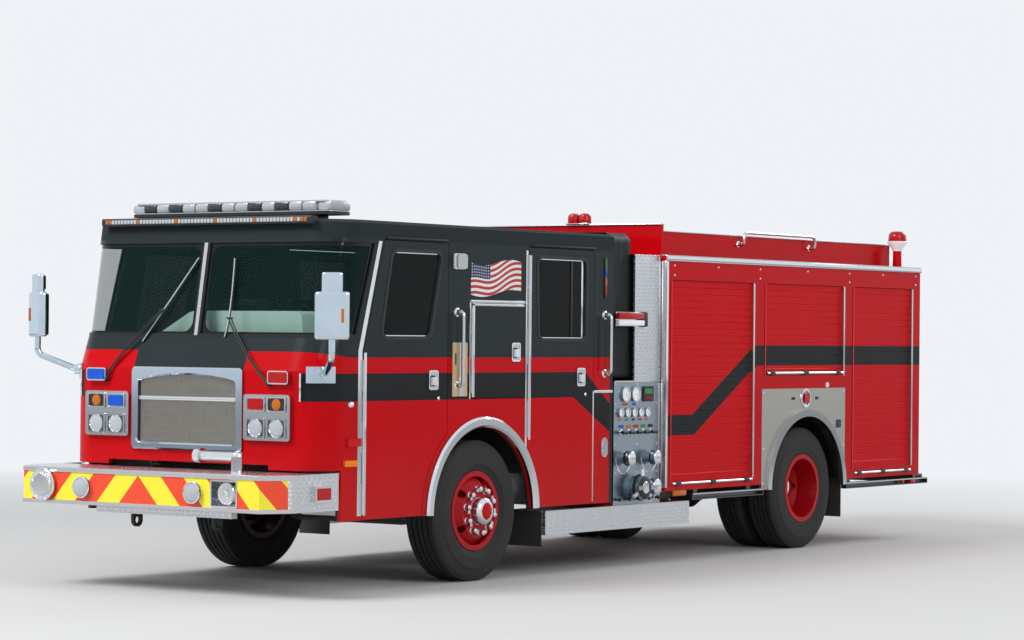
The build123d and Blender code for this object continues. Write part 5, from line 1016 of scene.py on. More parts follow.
# Scuff plate behind the front grab rail, with its two slots and two bolts
trim.sheet("Y", (along(0.275), 1.610), (0.188, 0.405), (CAB_Y, CAB_Y + 0.004), 0.008, 2)
for slot_x in (0.226, 0.330):
    trim.sheet("Y", (along(slot_x), 1.690), (0.018, 0.090), (CAB_Y + 0.003, CAB_Y + 0.005), 0.008, 3)
for bolt_z in (1.485, 1.535):
    bolt = [(0, 0.020), (0.007, 0.019), (0.011, 0.010), (0.011, 0)]
    trim.lathe(bolt, (along(0.275), CAB_Y + 0.004, bolt_z))
# Flanges of the grab rails
flange = [(0, 0.036), (0.006, 0.034), (0.012, 0.022), (0.040, 0.019), (0.046, 0.0165)]
for rail_x, low, high in ((0.316, 1.470, 2.060), (-1.700, 1.550, 2.060)):
    for flange_z in (low + 0.020, high - 0.020):
        trim.lathe(flange, (along(rail_x), CAB_Y, flange_z), steps=28)
# Oval flap low on the corner, the latch lamp at the front, and drip rails over the doors
for rise, size in ((0.010, 0.085), (0.014, 0.060)):
    trim.sheet("Y", (along(-1.700), 0.976), (size * 1.1, size * 1.9), (CAB_Y, CAB_Y + rise), size * 0.54)
trim.lathe([(0, 0.026), (0.014, 0.024), (0.026, 0.014), (0.030, 0)], (along(1.600), CAB_Y, 1.362), steps=28)
for x in ((0.44, 1.20), (-1.55, -0.66)):
    trim.bar(x, (CAB_Y - 0.004, CAB_Y + 0.012), (2.566, 2.580), 0.003, 10)
# Slim upright where the dark stripe meets the nose
trim.add(block((CAB_FACE - 0.010, CAB_FACE + 0.003), (1.048, 1.060), (1.385, 1.585), 0.001), 0, BOTH)
trim.done()

# %% [markdown]
# ## Flag
# A plain flag decal waves on the panel between the doors. Its cloth look is only colour: stripes that
# follow a sine wave, and a dark canton strewn with pale dots. The sheet is thin, with an edge that waves in
# the same way.

# %% Flag decal
FLAG_X, FLAG_LONG, POINTS = -0.520, 0.66, 16


def flag_finish():
    finish = Finish("flag decal")
    u = (finish.x - along(FLAG_X)) / FLAG_LONG
    v = (finish.z - 2.185) / 0.285
    wave = (u * 7.4 + 0.4).wave() * 0.09 - u * 0.42
    rise = v - wave
    stripe = (rise * 6.5).fraction() < 0.5
    colour = finish.blend(stripe, srgb(232, 232, 228), srgb(184, 14, 26))
    canton = (u > 0.62) & (rise > 0.74)
    dots_u, dots_v = (u * 22).fraction() - 0.5, (rise * 13).fraction() - 0.5
    dot = (dots_u * dots_u + dots_v * dots_v) < 0.05
    colour = finish.blend(canton, colour, finish.blend(dot, srgb(24, 30, 84), srgb(226, 228, 234)))
    finish.set(Base_Color=finish.blend(finish.noise(6, 3) * 0.15, colour, (0.02, 0.02, 0.02)), Roughness=0.3)
    return finish.material


flag = Piece("flag_decal", "cab", "body_red", flag_finish())
shares = [n / POINTS for n in range(POINTS + 1)]
lower = [(along(FLAG_X + FLAG_LONG * share), 2.190 + 0.030 * math.sin(share * 5.2 + 0.6)) for share in shares]
upper = [(x, z + 0.235 + 0.02 * (x - along(-0.2))) for x, z in reversed(lower)]
flag.add(plate(lower + upper, "Y", CAB_Y, CAB_Y + 0.0012), 0, BOTH)
flag.done()

# %% [markdown]
# ## Mirrors
# Each mirror is a chromed shell with two panes on the side that faces the driver: a tall flat one and a
# wide-angle one above it. A slim marker lamp sits on the front of the shell. All are made square to the
# engine and then turned together, by the angle at which the mirror stands.

# %% Mirror panes and lamps
mirror_pane = metal("mirror pane", srgb(225, 232, 236), 0.02, scale=4, wear=0.02).material
panes = Piece("mirror_panes", "cab", "chrome", mirror_pane, seal_rubber, lens_amber, chrome)
MIRROR_X, MIRROR_Y = along(2.060), 1.415
turn = Matrix.Translation((MIRROR_X, MIRROR_Y, 0)) @ Matrix.Rotation(math.radians(25), 4, "Z")
shapes = [(plate(rect(0.085, 1.995, 0.020, 0.100), "X", 0.035, 0.042, 0.009), 2)]
for low, high, wide, deep in ((1.838, 2.152, 0.228, 0.036), (2.178, 2.290, 0.132, 0.029)):
    mid_z, tall = (low + high) / 2, high - low
    shapes.append((plate(rect(0, mid_z, wide, tall), "X", -deep - 0.006, -deep, 0.024, rim=0.010), 1))
    glass = plate(rect(0, mid_z, wide - 0.012, tall - 0.012), "X", -deep - 0.004, -deep, 0.020)
    shapes.append((glass, 0))
for shape, finish_place in shapes:
    bmesh.ops.transform(shape, matrix=turn, verts=shape.verts[:])
    panes.add(shape, finish_place, BOTH)
panes.done()

# %% [markdown]
# ## Bumper
# Bright angle runs along the top and bottom edges of the bumper's face and follows its swept ends. The
# siren has a ribbed ring, the round horns are glazed, the loudspeaker shows its bell in the recess, and
# each side holds a framed red lamp.

# %% Bumper edges and fittings
fittings = Piece("bumper_trim", "chassis", "chrome", stainless, chrome, lens_red, lens_clear)
(x0, y0), (x1, y1) = (BUMPER_FACE, SWEEP_Y), (along(2.280), 1.250)
for low, high in ((SHEET_Z[0] - 0.028, SHEET_Z[0]), (SHEET_Z[1], SHEET_Z[1] + 0.034)):
    fittings.add(block((BUMPER_FACE - 0.004, BUMPER_FACE + 0.006), (-SWEEP_Y, SWEEP_Y), (low, high)))
    edge = [(x0 - 0.002, y0), (x1 - 0.002, y1), (x1 + 0.006, y1 + 0.002), (x0 + 0.006, y0)]
    fittings.add(plate(edge, "Z", low, high), 0, BOTH)
siren = [(0, 0.120), (0.006, 0.119), (0.010, 0.112), (0.004, 0.106), (0.002, 0.086), (0.012, 0.082),
         (0.0245, 0.070), (0.0249, 0)]
SIREN_Y, SIREN_Z = -0.915, 0.748
fittings.lathe(siren, (along(2.5149), SIREN_Y, SIREN_Z), AHEAD, 48, 1, (1,))
for spoke in range(24):
    angle = spoke * math.pi / 12
    ends = [
        (along(x), SIREN_Y + radius * math.cos(angle), SIREN_Z + radius * math.sin(angle))
        for x, radius in ((2.5175, 0.084), (2.5195, 0.112))
    ]
    fittings.add(rod(*ends, 0.003, sides=8), 1)
dome = [(0, 0.066), (0.004, 0.064), (0.009, 0.048), (0.013, 0.022), (0.014, 0)]
fittings.lathe(dome, (along(2.520), 0.530, 0.740), AHEAD, finish=3)
rim = [(0, 0.080), (0.006, 0.078), (0.007, 0.068), (0, 0.066)]
fittings.lathe(rim, (along(2.516), 0.530, 0.740), AHEAD, finish=1)
bell = [(-0.012, 0.080), (0.0, 0.080), (0.004, 0.076), (-0.004, 0.060), (-0.010, 0.034), (0.006, 0.026),
        (0.012, 0.012), (0.012, 0)]
fittings.lathe(bell, (along(2.462), 0.805, 0.740), AHEAD, 36, 1, (1,))
recess = (BUMPER_FACE - 0.002, BUMPER_FACE + 0.004)
fittings.sheet("X", (0.805, 0.740), (0.246, 0.196), recess, 0.012, 1, (1,), 0.012)
fittings.sheet("Y", (along(1.957), 0.736), (0.190, 0.120), (1.270, 1.278), 0.016, 1, rim=0.020)
fittings.sheet("Y", (along(1.957), 0.736), (0.154, 0.084), (1.270, 1.280), 0.012, 2)
fittings.done()

# %% [markdown]
# ## Wheel covers
# Bright caps hide the front wheel's ten nuts, and a domed cover closes the hub. The rear hubs stand deep in
# their rims and carry a plain domed cap. All are turned shapes that share the wheel's axis, so they ride on
# the wheel.

# %% Nut covers and hub caps
NUT_CIRCLE, NUTS = 0.1675, 10
bell = [(0.001, 0.0275), (0.006, 0.0265), (0.010, 0.0225), (0.040, 0.0205), (0.047, 0.014), (0.049, 0)]
hub = [(0.056, 0.104), (0.060, 0.1035), (0.070, 0.098), (0.082, 0.084), (0.084, 0.066),
       (0.080, 0.062), (0.080, 0)]
centre = [(0.079, 0.064), (0.086, 0.060), (0.092, 0.040), (0.094, 0)]
dome = [(-0.014, 0.098), (0, 0.100), (0.008, 0.096), (0.020, 0.082), (0.030, 0.050), (0.034, 0)]
for side, sign in SIDES.items():
    cover = Piece(f"nut_covers_{side}", f"wheel_front_{side}", "chrome", chrome, red_paint)
    for nut in range(NUTS):
        angle = 2 * math.pi * nut / NUTS + 0.2
        place = (FRONT_AXLE + NUT_CIRCLE * math.cos(angle), NUT_FACE, WHEEL_Z + NUT_CIRCLE * math.sin(angle))
        cover.lathe(bell, place, steps=18, sides=(sign,))
    cover.lathe(hub, (FRONT_AXLE, NUT_FACE, WHEEL_Z), sides=(sign,))
    cover.lathe(centre, (FRONT_AXLE, NUT_FACE, WHEEL_Z), steps=36, finish=1, sides=(sign,))
    cover.done()
    cap = Piece(f"hub_cap_{side}", f"wheel_rear_{side}", "chrome", chrome)
    cap.lathe(dome, (REAR_AXLE, 1.050, WHEEL_Z), sides=(sign,))
    cap.done()

# %% [markdown]
# ## Pump panel
# The operator reads seven gauges and pulls five handles. Every gauge gets a pale dial with ticks, a needle
# and a bright rim. The handles get black grips, and above each is a blank tag in the colour of its line.
# The capped outlets have lugs for a spanner, and a chain keeps each cap from falling.

# %% Gauges
def ray(middle, angle, rise, near, far, radius, tip=None, sides=20):
    """A round bar that points away from a middle, at a height above the side wall."""
    way = Vector((math.cos(angle), 0, math.sin(angle)))
    lifted = middle + Vector((0, rise, 0))
    return rod(lifted + way * near, lifted + way * far, radius, tip, sides)


panel = Piece(
    "pump_panel_fittings", "chassis", "brushed_steel", chrome, scene_white, black_plastic, lens_red,
    lens_amber, lens_blue, lens_green, stainless,
)
TAG_Y = (PANEL_Y, PANEL_Y + 0.002)
DIALS = [(-2.030, 1.400, 0.062), (-2.180, 1.400, 0.062)]
DIALS += [(-1.960 - 0.1 * place, 1.250, 0.038) for place in range(5)]
for place, (x, z, radius) in enumerate(DIALS):
    middle = Vector((along(x), PANEL_Y, z))
    rim = [(0.016, radius + 0.001), (0.020, radius), (0.021, radius - 0.004), (0.0165, radius - 0.008),
           (0.016, radius)]
    panel.lathe(rim, middle, steps=36, closed=True)
    dial = [(0.0122, 0), (0.0122, radius - 0.009), (0.0134, radius - 0.009), (0.0134, 0)]
    panel.lathe(dial, middle, steps=36, finish=1)
    for tick in range(11):
        angle = math.radians(225 - 27 * tick)
        panel.add(ray(middle, angle, 0.0139, radius * 0.62, radius * 0.78, 0.0008, sides=6), 2, BOTH)
    angle = math.radians(225 - 34 * (place % 3))
    panel.add(ray(middle, angle, 0.0150, -0.008, radius * 0.6, 0.0014, 0.0005, 8), 2, BOTH)
    tag_size, colour = (radius * 1.2, 0.018), (3, 5, 4, 6, 2, 3, 4)[place]
    panel.sheet("Y", (along(x), z - radius - 0.020), tag_size, TAG_Y, 0.004, colour)

# %% Handles and capped outlets
knob = [(0, 0.010), (0.020, 0.010), (0.022, 0.016), (0.034, 0.016), (0.038, 0.010), (0.038, 0)]
for place, colour in enumerate((5, 4, 3, 6, 2)):
    x = along(-1.980 - 0.110 * place)
    panel.add(rod((x - 0.041, PANEL_Y + 0.040, 1.090), (x + 0.041, PANEL_Y + 0.040, 1.090), 0.0148), 2, BOTH)
    panel.lathe([(0, 0.024), (0.004, 0.023), (0.008, 0.016)], (x, PANEL_Y, 1.090), steps=24)
    panel.sheet("Y", (x, 1.138), (0.074, 0.026), TAG_Y, 0.004, colour)
    panel.lathe(knob, (along(-1.930 - 0.145 * place), PANEL_Y, 0.545), steps=18, finish=2)
for x, z, radius in ((-1.985, 0.880, 0.052), (-2.370, 0.880, 0.052), (-2.370, 0.640, 0.058)):
    middle = Vector((along(x), PANEL_Y, z))
    cap = [(0.110, radius + 0.004), (0.114, radius), (0.118, radius - 0.020), (0.119, 0)]
    panel.lathe(cap, middle, steps=36)
    low, high = radius + 0.006, radius + 0.0095
    band = [(0.0595, low), (0.0595, high), (0.070, high), (0.070, low)]
    panel.lathe(band, middle, ACROSS, 36, 2, closed=True)
    for angle in (0.5, 0.5 + math.pi):
        panel.add(ray(middle, angle, 0.086, radius, radius + 0.034, 0.015, 0.011, 10), 0, BOTH)
    chain = [(0.03, 0.112, -0.04), (0.05, 0.115, -radius - 0.03), (0.07, 0.06, -radius - 0.085),
             (0.085, 0.010, -radius - 0.02), (0.085, 0, 0.0)]
    panel.add(tube([middle + Vector(step) for step in chain], 0.0032), 0, BOTH)

# %% Intake, reading panel and edges
INTAKE = Vector((along(-2.160), PANEL_Y, 0.640))
crown = [(0.118, 0.096), (0.122, 0.092), (0.126, 0.070), (0.132, 0.030), (0.133, 0)]
panel.lathe(crown, INTAKE, steps=48, finish=2)
panel.lathe([(0.1325, 0.050), (0.137, 0.046), (0.139, 0)], INTAKE, steps=36)
seal = [(0.066, 0.100), (0.066, 0.109), (0.076, 0.111), (0.086, 0.109), (0.086, 0.100)]
panel.lathe(seal, INTAKE, steps=48, finish=2, closed=True)
for lug in range(3):
    panel.add(ray(INTAKE, math.radians(120 * lug - 30), 0.094, 0.096, 0.148, 0.021, 0.015, 16), 0, BOTH)
READING_X = -2.375
panel.sheet("Y", (along(READING_X), 1.400), (0.150, 0.125), (PANEL_Y, PANEL_Y + 0.012), 0.012, 2)
panel.sheet("Y", (along(READING_X), 1.422), (0.112, 0.044), (PANEL_Y + 0.011, PANEL_Y + 0.0135), 0.004, 6)
for key in (-0.036, 0.0, 0.036):
    key_place = (along(READING_X + key), PANEL_Y + 0.012, 1.365)
    panel.lathe([(0, 0.011), (0.004, 0.010), (0.005, 0)], key_place, steps=16, finish=3)
panel.bar((-2.570, -1.872), (PANEL_Y, PANEL_Y + 0.006), (1.496, 1.510), 0.002, 7)
for z in ((0.52, 1.49), (1.53, 2.53)):
    panel.bar((-2.568, -2.535), (PANEL_Y, PANEL_Y + 0.005), z, 0.002, 7)
for bolt_x in (-1.888, -2.215, -2.520):
    for bolt_z in (0.530, 0.760, 0.990, 1.320, 1.480):
        panel.lathe([(0, 0.009), (0.003, 0.008), (0.005, 0)], (along(bolt_x), PANEL_Y, bolt_z), steps=12)
panel.done()

# %% [markdown]
# ## Crosslay cover
# A black vinyl sheet lies over the crosslay behind the cab, and hangs down on both sides by its own
# weight. It is one row of points pulled along its length, cut fine enough to carry shallow folds. The
# folds are a sum of slow waves that grow towards the free ends.

# %% Crosslay cover
COVER_TOP, COVER_Y, COVER_LOW = 2.722, 1.156, 1.535
COVER_X = (along(-2.163), along(-1.879))
COVER_WIDE, STEPS = COVER_X[1] - COVER_X[0], 18
half = [(COVER_Y, COVER_LOW), (COVER_Y, COVER_TOP - 0.060), (COVER_Y - 0.055, COVER_TOP - 0.006)]
profile = [(-y, z) for y, z in half] + half[::-1]
bm = bmesh.new()
line = [bm.verts.new((COVER_X[0], y, z)) for y, z in profile]
edges = [bm.edges.new(pair) for pair in zip(line, line[1:])]
for edge, cuts in zip(edges, (34, 1, 60, 1, 34)):
    bmesh.ops.subdivide_edges(bm, edges=[edge], cuts=cuts)
front = bm.edges[:]
for step in range(STEPS):
    grown = bmesh.ops.extrude_edge_only(bm, edges=front)["geom"]
    points = [g for g in grown if isinstance(g, bmesh.types.BMVert)]
    bmesh.ops.translate(bm, vec=(COVER_WIDE / STEPS, 0, 0), verts=points)
    front = [g for g in grown if isinstance(g, bmesh.types.BMEdge)]
for vert in bm.verts:
    x, y, z = vert.co
    u = (x - COVER_X[0]) / COVER_WIDE
    if abs(y) > COVER_Y - 0.03:
        free = (COVER_TOP - z) / (COVER_TOP - COVER_LOW)
        fold = math.sin(u * 9.0 + z * 1.3) * 0.6 + math.sin(u * 21.0 - z * 2.4 + y) * 0.3
        fold += math.sin(z * 9.0 + u * 4) * 0.25
        vert.co.y += math.copysign(fold * (0.002 + 0.007 * min(free * 1.6, 1)), y)
    else:
        vert.co.z -= 0.008 * math.sin(math.pi * u) + 0.002 * math.sin(y * 8 + u * 5)
cover_mesh = bpy.data.meshes.new("crosslay_sheet")
bm.to_mesh(cover_mesh)
bm.free()
cover_mesh.shade_smooth()

# %% Vinyl, and the sheet's thickness
vinyl = Finish("black vinyl")
weave = (vinyl.x * 900).wave() * (vinyl.z * 900 + vinyl.y * 900).wave()
vinyl.set(Base_Color=vinyl.blend(vinyl.noise(5, 5) * 0.4, srgb(11, 12, 13), srgb(28, 31, 34)))
vinyl.set(Roughness=0.42 + vinyl.noise(14, 4) * 0.2, Specular_IOR_Level=0.25)
vinyl.bump(weave * 0.3 + vinyl.noise(40, 4), 0.25, 0.002)
cover_mesh.materials.append(vinyl.material)
cover = show("crosslay_sheet", cover_mesh)
thick = cover.modifiers.new("thick", "SOLIDIFY")
thick.thickness, thick.offset = 0.004, 0
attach(cover, "chassis")
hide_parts("crosslay_cover")

# %% [markdown]
# ## Lamp beside the crosslay
# A red strobe over a white work lamp reaches forward from the tread-plate post, half way up the cover.

# %% Crosslay lamp
lamp = Piece("crosslay_lamp", "chassis", "lamp_red", lens_red, scene_white, chrome, black_plastic)
LAMP_REACH = (-2.262, -1.882)
lamp.bar(LAMP_REACH, (1.2045, 1.244), (2.010, 2.066), 0.012, 0)
lamp.bar(LAMP_REACH, (1.2045, 1.246), (1.960, 2.004), 0.008, 1)
lamp.bar(LAMP_REACH, (1.200, 1.2075), (1.955, 2.070), 0.002, 2)
lamp.bar((-2.330, -2.252), (1.2035, 1.236), (1.950, 2.074), 0.014, 3)
lamp.done()

# %% [markdown]
# ## Body edges
# Bright trim draws the body's outline: a drip rail under the roof edge, caps on the hose bed's walls and
# headboard, and small rivets along the header. Under each shutter hangs its lift bar, bright with black
# ends. Most of these are plain bars, so a list of their reaches and finishes is shorter and easier to
# correct than a line of code for each.

# %% Body edge trim
edge = Piece(
    "body_edge_trim", "chassis", "brushed_steel", stainless, chrome, black_plastic, scene_white, lens_red,
    lens_amber, seal_rubber,
)
for x, y, z, bevel, finish_place in (
    ((-7.088, -2.573), (1.2525, 1.269), (2.500, 2.544), 0.005, 1),
    ((-7.086, -2.573), (1.185, 1.262), (2.5445, 2.550), 0.002, 0),
    ((-2.605, -2.5695), (1.2525, 1.2565), (0.62, 2.500), 0.001, 1),
    ((-2.5735, -2.5695), (1.2105, 1.2565), (0.62, 2.500), 0.001, 0),
    ((-7.050, -2.600), (0.9405, 0.972), (2.7595, 2.768), 0.002, 0),
):
    edge.bar(x, y, z, bevel, finish_place)
edge.bar((-2.622, -2.562), (-1.200, 1.200), (2.7995, 2.812), 0.004, 0, (1,))
for (rear, front), low in (((-3.965, -2.675), 0.632), ((-6.892, -5.800), 0.625), ((-5.570, -4.215), 1.546)):
    edge.add(rod((along(rear), 1.262, low + 0.016), (along(front), 1.262, low + 0.016), 0.011), 1, BOTH)
    for hand_x in (rear + 0.09, (rear + front) / 2, front - 0.09):
        edge.bar((hand_x - 0.045, hand_x + 0.045), (1.2425, 1.275), (low - 0.002, low + 0.034), 0.008, 2)
# Bright strips on the rear upright of each shutter frame: a painted highlight, where the sun caught only that
# side.
for strip_x, low in ((-3.995, 0.662), (-5.600, 1.536), (-6.922, 0.682)):
    edge.bar((strip_x - 0.008, strip_x + 0.016), (1.2525, 1.2620), (low, 2.336))
RIVETS = [(x, z) for x in (-2.700, -4.100, -5.700, -6.990) for z in (2.385, 2.465)]
RIVETS += [(x, 2.465) for x in (-3.400, -4.930, -6.340)]
RIVETS += [(x, z) for x in (-4.180, -5.605) for z in (0.600, 0.900, 1.390)]
for x, z in RIVETS:
    edge.lathe([(0, 0.010), (0.004, 0.008), (0.006, 0)], (along(x), BODY_Y, z), steps=12, finish=1)

# %% [markdown]
# The bright panel over the rear wheel carries a round lamp's bezel, two slots, the fuel door and a small
# white lamp. The rub rail below it has bright upper lines, red markers at the back and an amber one ahead.

# %% Wheel panel and rub rail
SIDE_LAMP_X, FUEL_DOOR_X = -4.912, -5.508
bezel = [(0, 0.088), (0.007, 0.086), (0.011, 0.076), (0.008, 0.064), (0.006, 0.062), (0, 0.062)]
edge.lathe(bezel, (along(SIDE_LAMP_X), BODY_Y, 1.337), finish=1, closed=True)
for slot_x in (-4.692, -5.112):
    edge.sheet("Y", (along(slot_x), 1.336), (0.056, 0.026), (BODY_Y, BODY_Y + 0.003), 0.010, 2)
edge.sheet("Y", (along(FUEL_DOOR_X), 1.100), (0.112, 0.100), (BODY_Y, BODY_Y + 0.004), 0.014, 1)
edge.sheet("Y", (along(FUEL_DOOR_X), 1.100), (0.086, 0.074), (BODY_Y + 0.003, BODY_Y + 0.007), 0.010, 2)
white_lamp = [(0, 0.024), (0.010, 0.022), (0.018, 0.010), (0.019, 0)]
edge.lathe(white_lamp, (along(-5.293), BODY_Y, 1.452), steps=20, finish=3)
for x, y, z, bevel, finish_place in (
    ((-4.140, -2.985), (1.2735, 1.2775), (0.548, 0.559), 0.001, 0),
    ((-7.214, -5.645), (1.2735, 1.2775), (0.548, 0.559), 0.001, 0),
    ((-6.975, -6.880), (1.245, 1.279), (0.515, 0.550), 0.010, 4),
    ((-6.760, -6.710), (1.245, 1.277), (0.518, 0.547), 0.008, 4),
    ((-2.905, -2.700), (1.238, 1.262), (0.545, 0.5915), 0.008, 5),
):
    edge.bar(x, y, z, bevel, finish_place)
edge.done()

# %% [markdown]
# ## Rails over the hose bed and behind
# The bright rail beside the hose bed ends in hooks that turn down and in to the wall. The rails beside the
# rear shutter stand on round flanges. Both are bent tubes.

# %% Hand rails
rails = Piece("bent_hand_rails", "chassis", "brushed_steel", stainless, chrome)
FEET = (-4.205, -5.455)
HOOK = [(-4.205, 0.962, 2.690), (-4.205, 1.010, 2.668), (-4.195, 1.028, 2.740), (-4.220, 1.022, 2.790),
        (-4.330, 1.020, 2.791), (-4.600, 1.020, 2.791)]
far_hook = [(sum(FEET) - x, y, z) for x, y, z in reversed(HOOK)]
rails.add(tube([(along(x), y, z) for x, y, z in HOOK + far_hook], 0.014), 0, BOTH)
for foot_x in FEET:
    foot = [(0, 0.030), (0.005, 0.028), (0.009, 0.017)]
    rails.lathe(foot, (along(foot_x), 0.960, 2.690), steps=20, finish=1)
TAIL_X, HANDLE_Y = along(-7.082), 0.780
handle = [(0, 1.010), (0.062, 1.000), (0.070, 1.060), (0.070, 1.400), (0.070, 1.740), (0.062, 1.800),
          (0, 1.790)]
rails.add(tube([(TAIL_X - back, HANDLE_Y, z) for back, z in handle], 0.0148), 0, BOTH)
for foot_z in (1.010, 1.790):
    rails.lathe([(0, 0.032), (0.006, 0.030), (0.010, 0.018)], (TAIL_X, HANDLE_Y, foot_z), (-1, 0, 0), 20, 1)
rails.done("hand_rails")

# %% [markdown]
# ## Lamps on the body
# The plain lamp solids are replaced here by real ones: tail lamps in bright bezels, a round-framed side
# lamp, and beacons. The rear beacons are red domes on white sockets that widen upwards, each on a red post.
# A low pair of red domes stands on the headboard.

# %% Body lamps
lamps = Piece(
    "body_lamp_set", "chassis", "lamp_red", lens_red, lens_amber, lens_clear, chrome, scene_white, red_paint
)
TAIL_LAMP_Y = 0.960
for z, tall, colour in ((0.800, 0.130, 0), (0.960, 0.130, 1), (1.120, 0.130, 2), (2.280, 0.150, 0)):
    middle = (TAIL_LAMP_Y, z)
    lamps.sheet("X", middle, (0.170, tall), (TAIL_X - 0.016, TAIL_X), 0.022, 3, rim=0.016)
    lamps.sheet("X", middle, (0.142, tall - 0.028), (TAIL_X - 0.026, TAIL_X), 0.016, colour)
    lamps.sheet("X", middle, (0.104, tall - 0.062), (TAIL_X - 0.030, TAIL_X - 0.025), 0.012, colour)
lamps.sheet("Y", (along(SIDE_LAMP_X), 1.337), (0.092, 0.086), (BODY_Y, BODY_Y + 0.020), 0.010)
BEACON = Vector((along(-6.960), 1.070, 2.545))
post = [(0, 0.062), (0.008, 0.060), (0.014, 0.043), (0.165, 0.040), (0.166, 0)]
lamps.lathe(post, BEACON, UP, 28, 5)
socket = [(0.160, 0), (0.161, 0.046), (0.180, 0.050), (0.238, 0.094), (0.250, 0.098), (0.254, 0.094),
          (0.254, 0)]
lamps.lathe(socket, BEACON, UP, 36, 4)
dome = [(0.2535, 0), (0.2535, 0.084), (0.262, 0.087), (0.315, 0.082), (0.336, 0.070), (0.348, 0.046),
        (0.351, 0)]
lamps.lathe(dome, BEACON, UP, 36)
low_dome = [(0, 0.052), (0.008, 0.055), (0.060, 0.054), (0.082, 0.046), (0.094, 0.026), (0.097, 0)]
for dome_y in (0.312, 0.422):
    lamps.lathe(low_dome, (along(-2.592), dome_y, 2.8125), UP, 32, sides=(1,))
lamps.bar((-2.650, -2.534), (0.255, 0.480), (2.812, 2.822), 0.004, 3, (1,))
lamps.done("body_lamps")

# %% [markdown]
# ## Seats
# Each seat is two foam pads. A pad starts as a rounded block, is remeshed into an even net and blown up a
# little by the cloth solver, which crowns its faces and pulls its sides in between the corners. No point
# may move more than a set reach, so every pad stays inside its place. Two channels are then pressed into it
# as sewn seams, and the two solved pads are copied to the five seats.

# %% Two padded shapes
seat_cloth = Finish("seat cloth")
THREADS = 1400
thread = (seat_cloth.x * THREADS).wave() + (seat_cloth.y * THREADS).wave() + (seat_cloth.z * THREADS).wave()
seat_cloth.set(Base_Color=seat_cloth.blend(seat_cloth.noise(8, 5) * 0.5, srgb(52, 56, 60), srgb(82, 88, 92)))
seat_cloth.set(Roughness=0.85, Sheen_Weight=0.25).bump(thread, 0.3, 0.0008)
VOXEL, PUFF, PRESSURE, FRAMES = 0.0095, 0.012, 4, 20
SEAM_Y, SEAM_WIDTH, SEAM_DEPTH = 0.085, 0.016, 0.22


def apply(piece):
    """Bakes a piece's modifiers into its mesh."""
    graph = bpy.context.evaluated_depsgraph_get()
    solved = bpy.data.meshes.new_from_object(piece.evaluated_get(graph), depsgraph=graph)
    piece.modifiers.clear()
    piece.data = solved


def pad_mesh(name, size):
    """A foam pad round the origin: a rounded block, remeshed and puffed by the cloth solver."""
    half = [length / 2 - PUFF for length in size]
    shape = block((-half[0], half[0]), (-half[1], half[1]), (-half[2], half[2]), 0.022)
    mesh = bpy.data.meshes.new(name)
    shape.to_mesh(mesh)
    shape.free()
    pad = show(name, mesh)
    net = pad.modifiers.new("net", "REMESH")
    net.mode, net.voxel_size = "VOXEL", VOXEL
    apply(pad)
    start = [vert.co.copy() for vert in pad.data.vertices]
    cloth = pad.modifiers.new("puff", "CLOTH")
    cloth.settings.use_pressure = True
    cloth.settings.uniform_pressure_force = PRESSURE
    cloth.settings.effector_weights.gravity = 0
    for frame_number in range(1, FRAMES + 1):
        bpy.context.scene.frame_set(frame_number)
    apply(pad)
    bpy.context.scene.frame_set(1)
    thin = size.index(min(size))
    for vert, origin in zip(pad.data.vertices, start):
        move = vert.co - origin
        if move.length > PUFF:
            vert.co = origin + move * (PUFF / move.length)
        for seam in (-SEAM_Y, SEAM_Y):
            deep = math.exp(-(((vert.co.y - seam) / SEAM_WIDTH) ** 2))
            vert.co[thin] *= 1 - SEAM_DEPTH * deep
    return pad


# %% Five seats
cushion = pad_mesh("seat_cushion_pad", (0.470, 0.480, 0.110))
rest = pad_mesh("seat_back_pad", (0.110, 0.480, 0.610))
SEATS = [(0.860, 0.745), (0.860, -0.745), (-1.260, 0.700), (-1.260, 0.0), (-1.260, -0.700)]
pads = bmesh.new()
for front_x, middle_y in SEATS:
    for pad, place in ((cushion, (front_x - 0.235, 1.455)), (rest, (front_x - 0.415, 1.815))):
        copy = bmesh.new()
        copy.from_mesh(pad.data)
        bmesh.ops.translate(copy, vec=(along(place[0]), middle_y, place[1]), verts=copy.verts[:])
        merge(pads, copy)
seat_mesh = bpy.data.meshes.new("seat_pads")
pads.to_mesh(seat_mesh)
pads.free()
seat_mesh.shade_smooth()
seat_mesh.materials.append(seat_cloth.material)
seat_pads = show("seat_pads", seat_mesh)
for pad in (cushion, rest):
    bpy.data.objects.remove(pad)
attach(seat_pads, "cab")
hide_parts("seats")
print("seat pads:", len(seat_mesh.polygons), "faces")

# %% [markdown]
# A belt crosses each seat's back from the shoulder to a bright buckle. It is a thin bent tube, which is
# enough behind tinted glass.

# %% Belts
belts = Piece("seat_belts", "cab", "black_rubber", black_plastic, chrome)
for front_x, middle_y in SEATS:
    out = 1 if middle_y >= 0 else -1
    low = (front_x - 0.150, middle_y - out * 0.215, 1.522)
    sway = (front_x - 0.255, middle_y - out * 0.010, 1.750)
    high = (front_x - 0.300, middle_y + out * 0.185, 2.080)
    belts.add(tube([(along(x), y, z) for x, y, z in (low, sway, high)], 0.006), 0)
    x, y, _ = low
    belts.bar((x - 0.02, x + 0.02), (y - 0.024, y + 0.024), (1.512, 1.545), 0.006, 1, (1,))
belts.done()

# %% [markdown]
# ## Instrument hood
# Through the windscreen a pale hood shows, which stands on the dashboard from the driver to beyond the
# middle and slopes down on the other side. Its pale mint colour is partly painted light: sunlight on the
# dashboard's top. It is a plate in the plane of the glass, given depth and round corners. Its back holds the
# driver's dark dials.

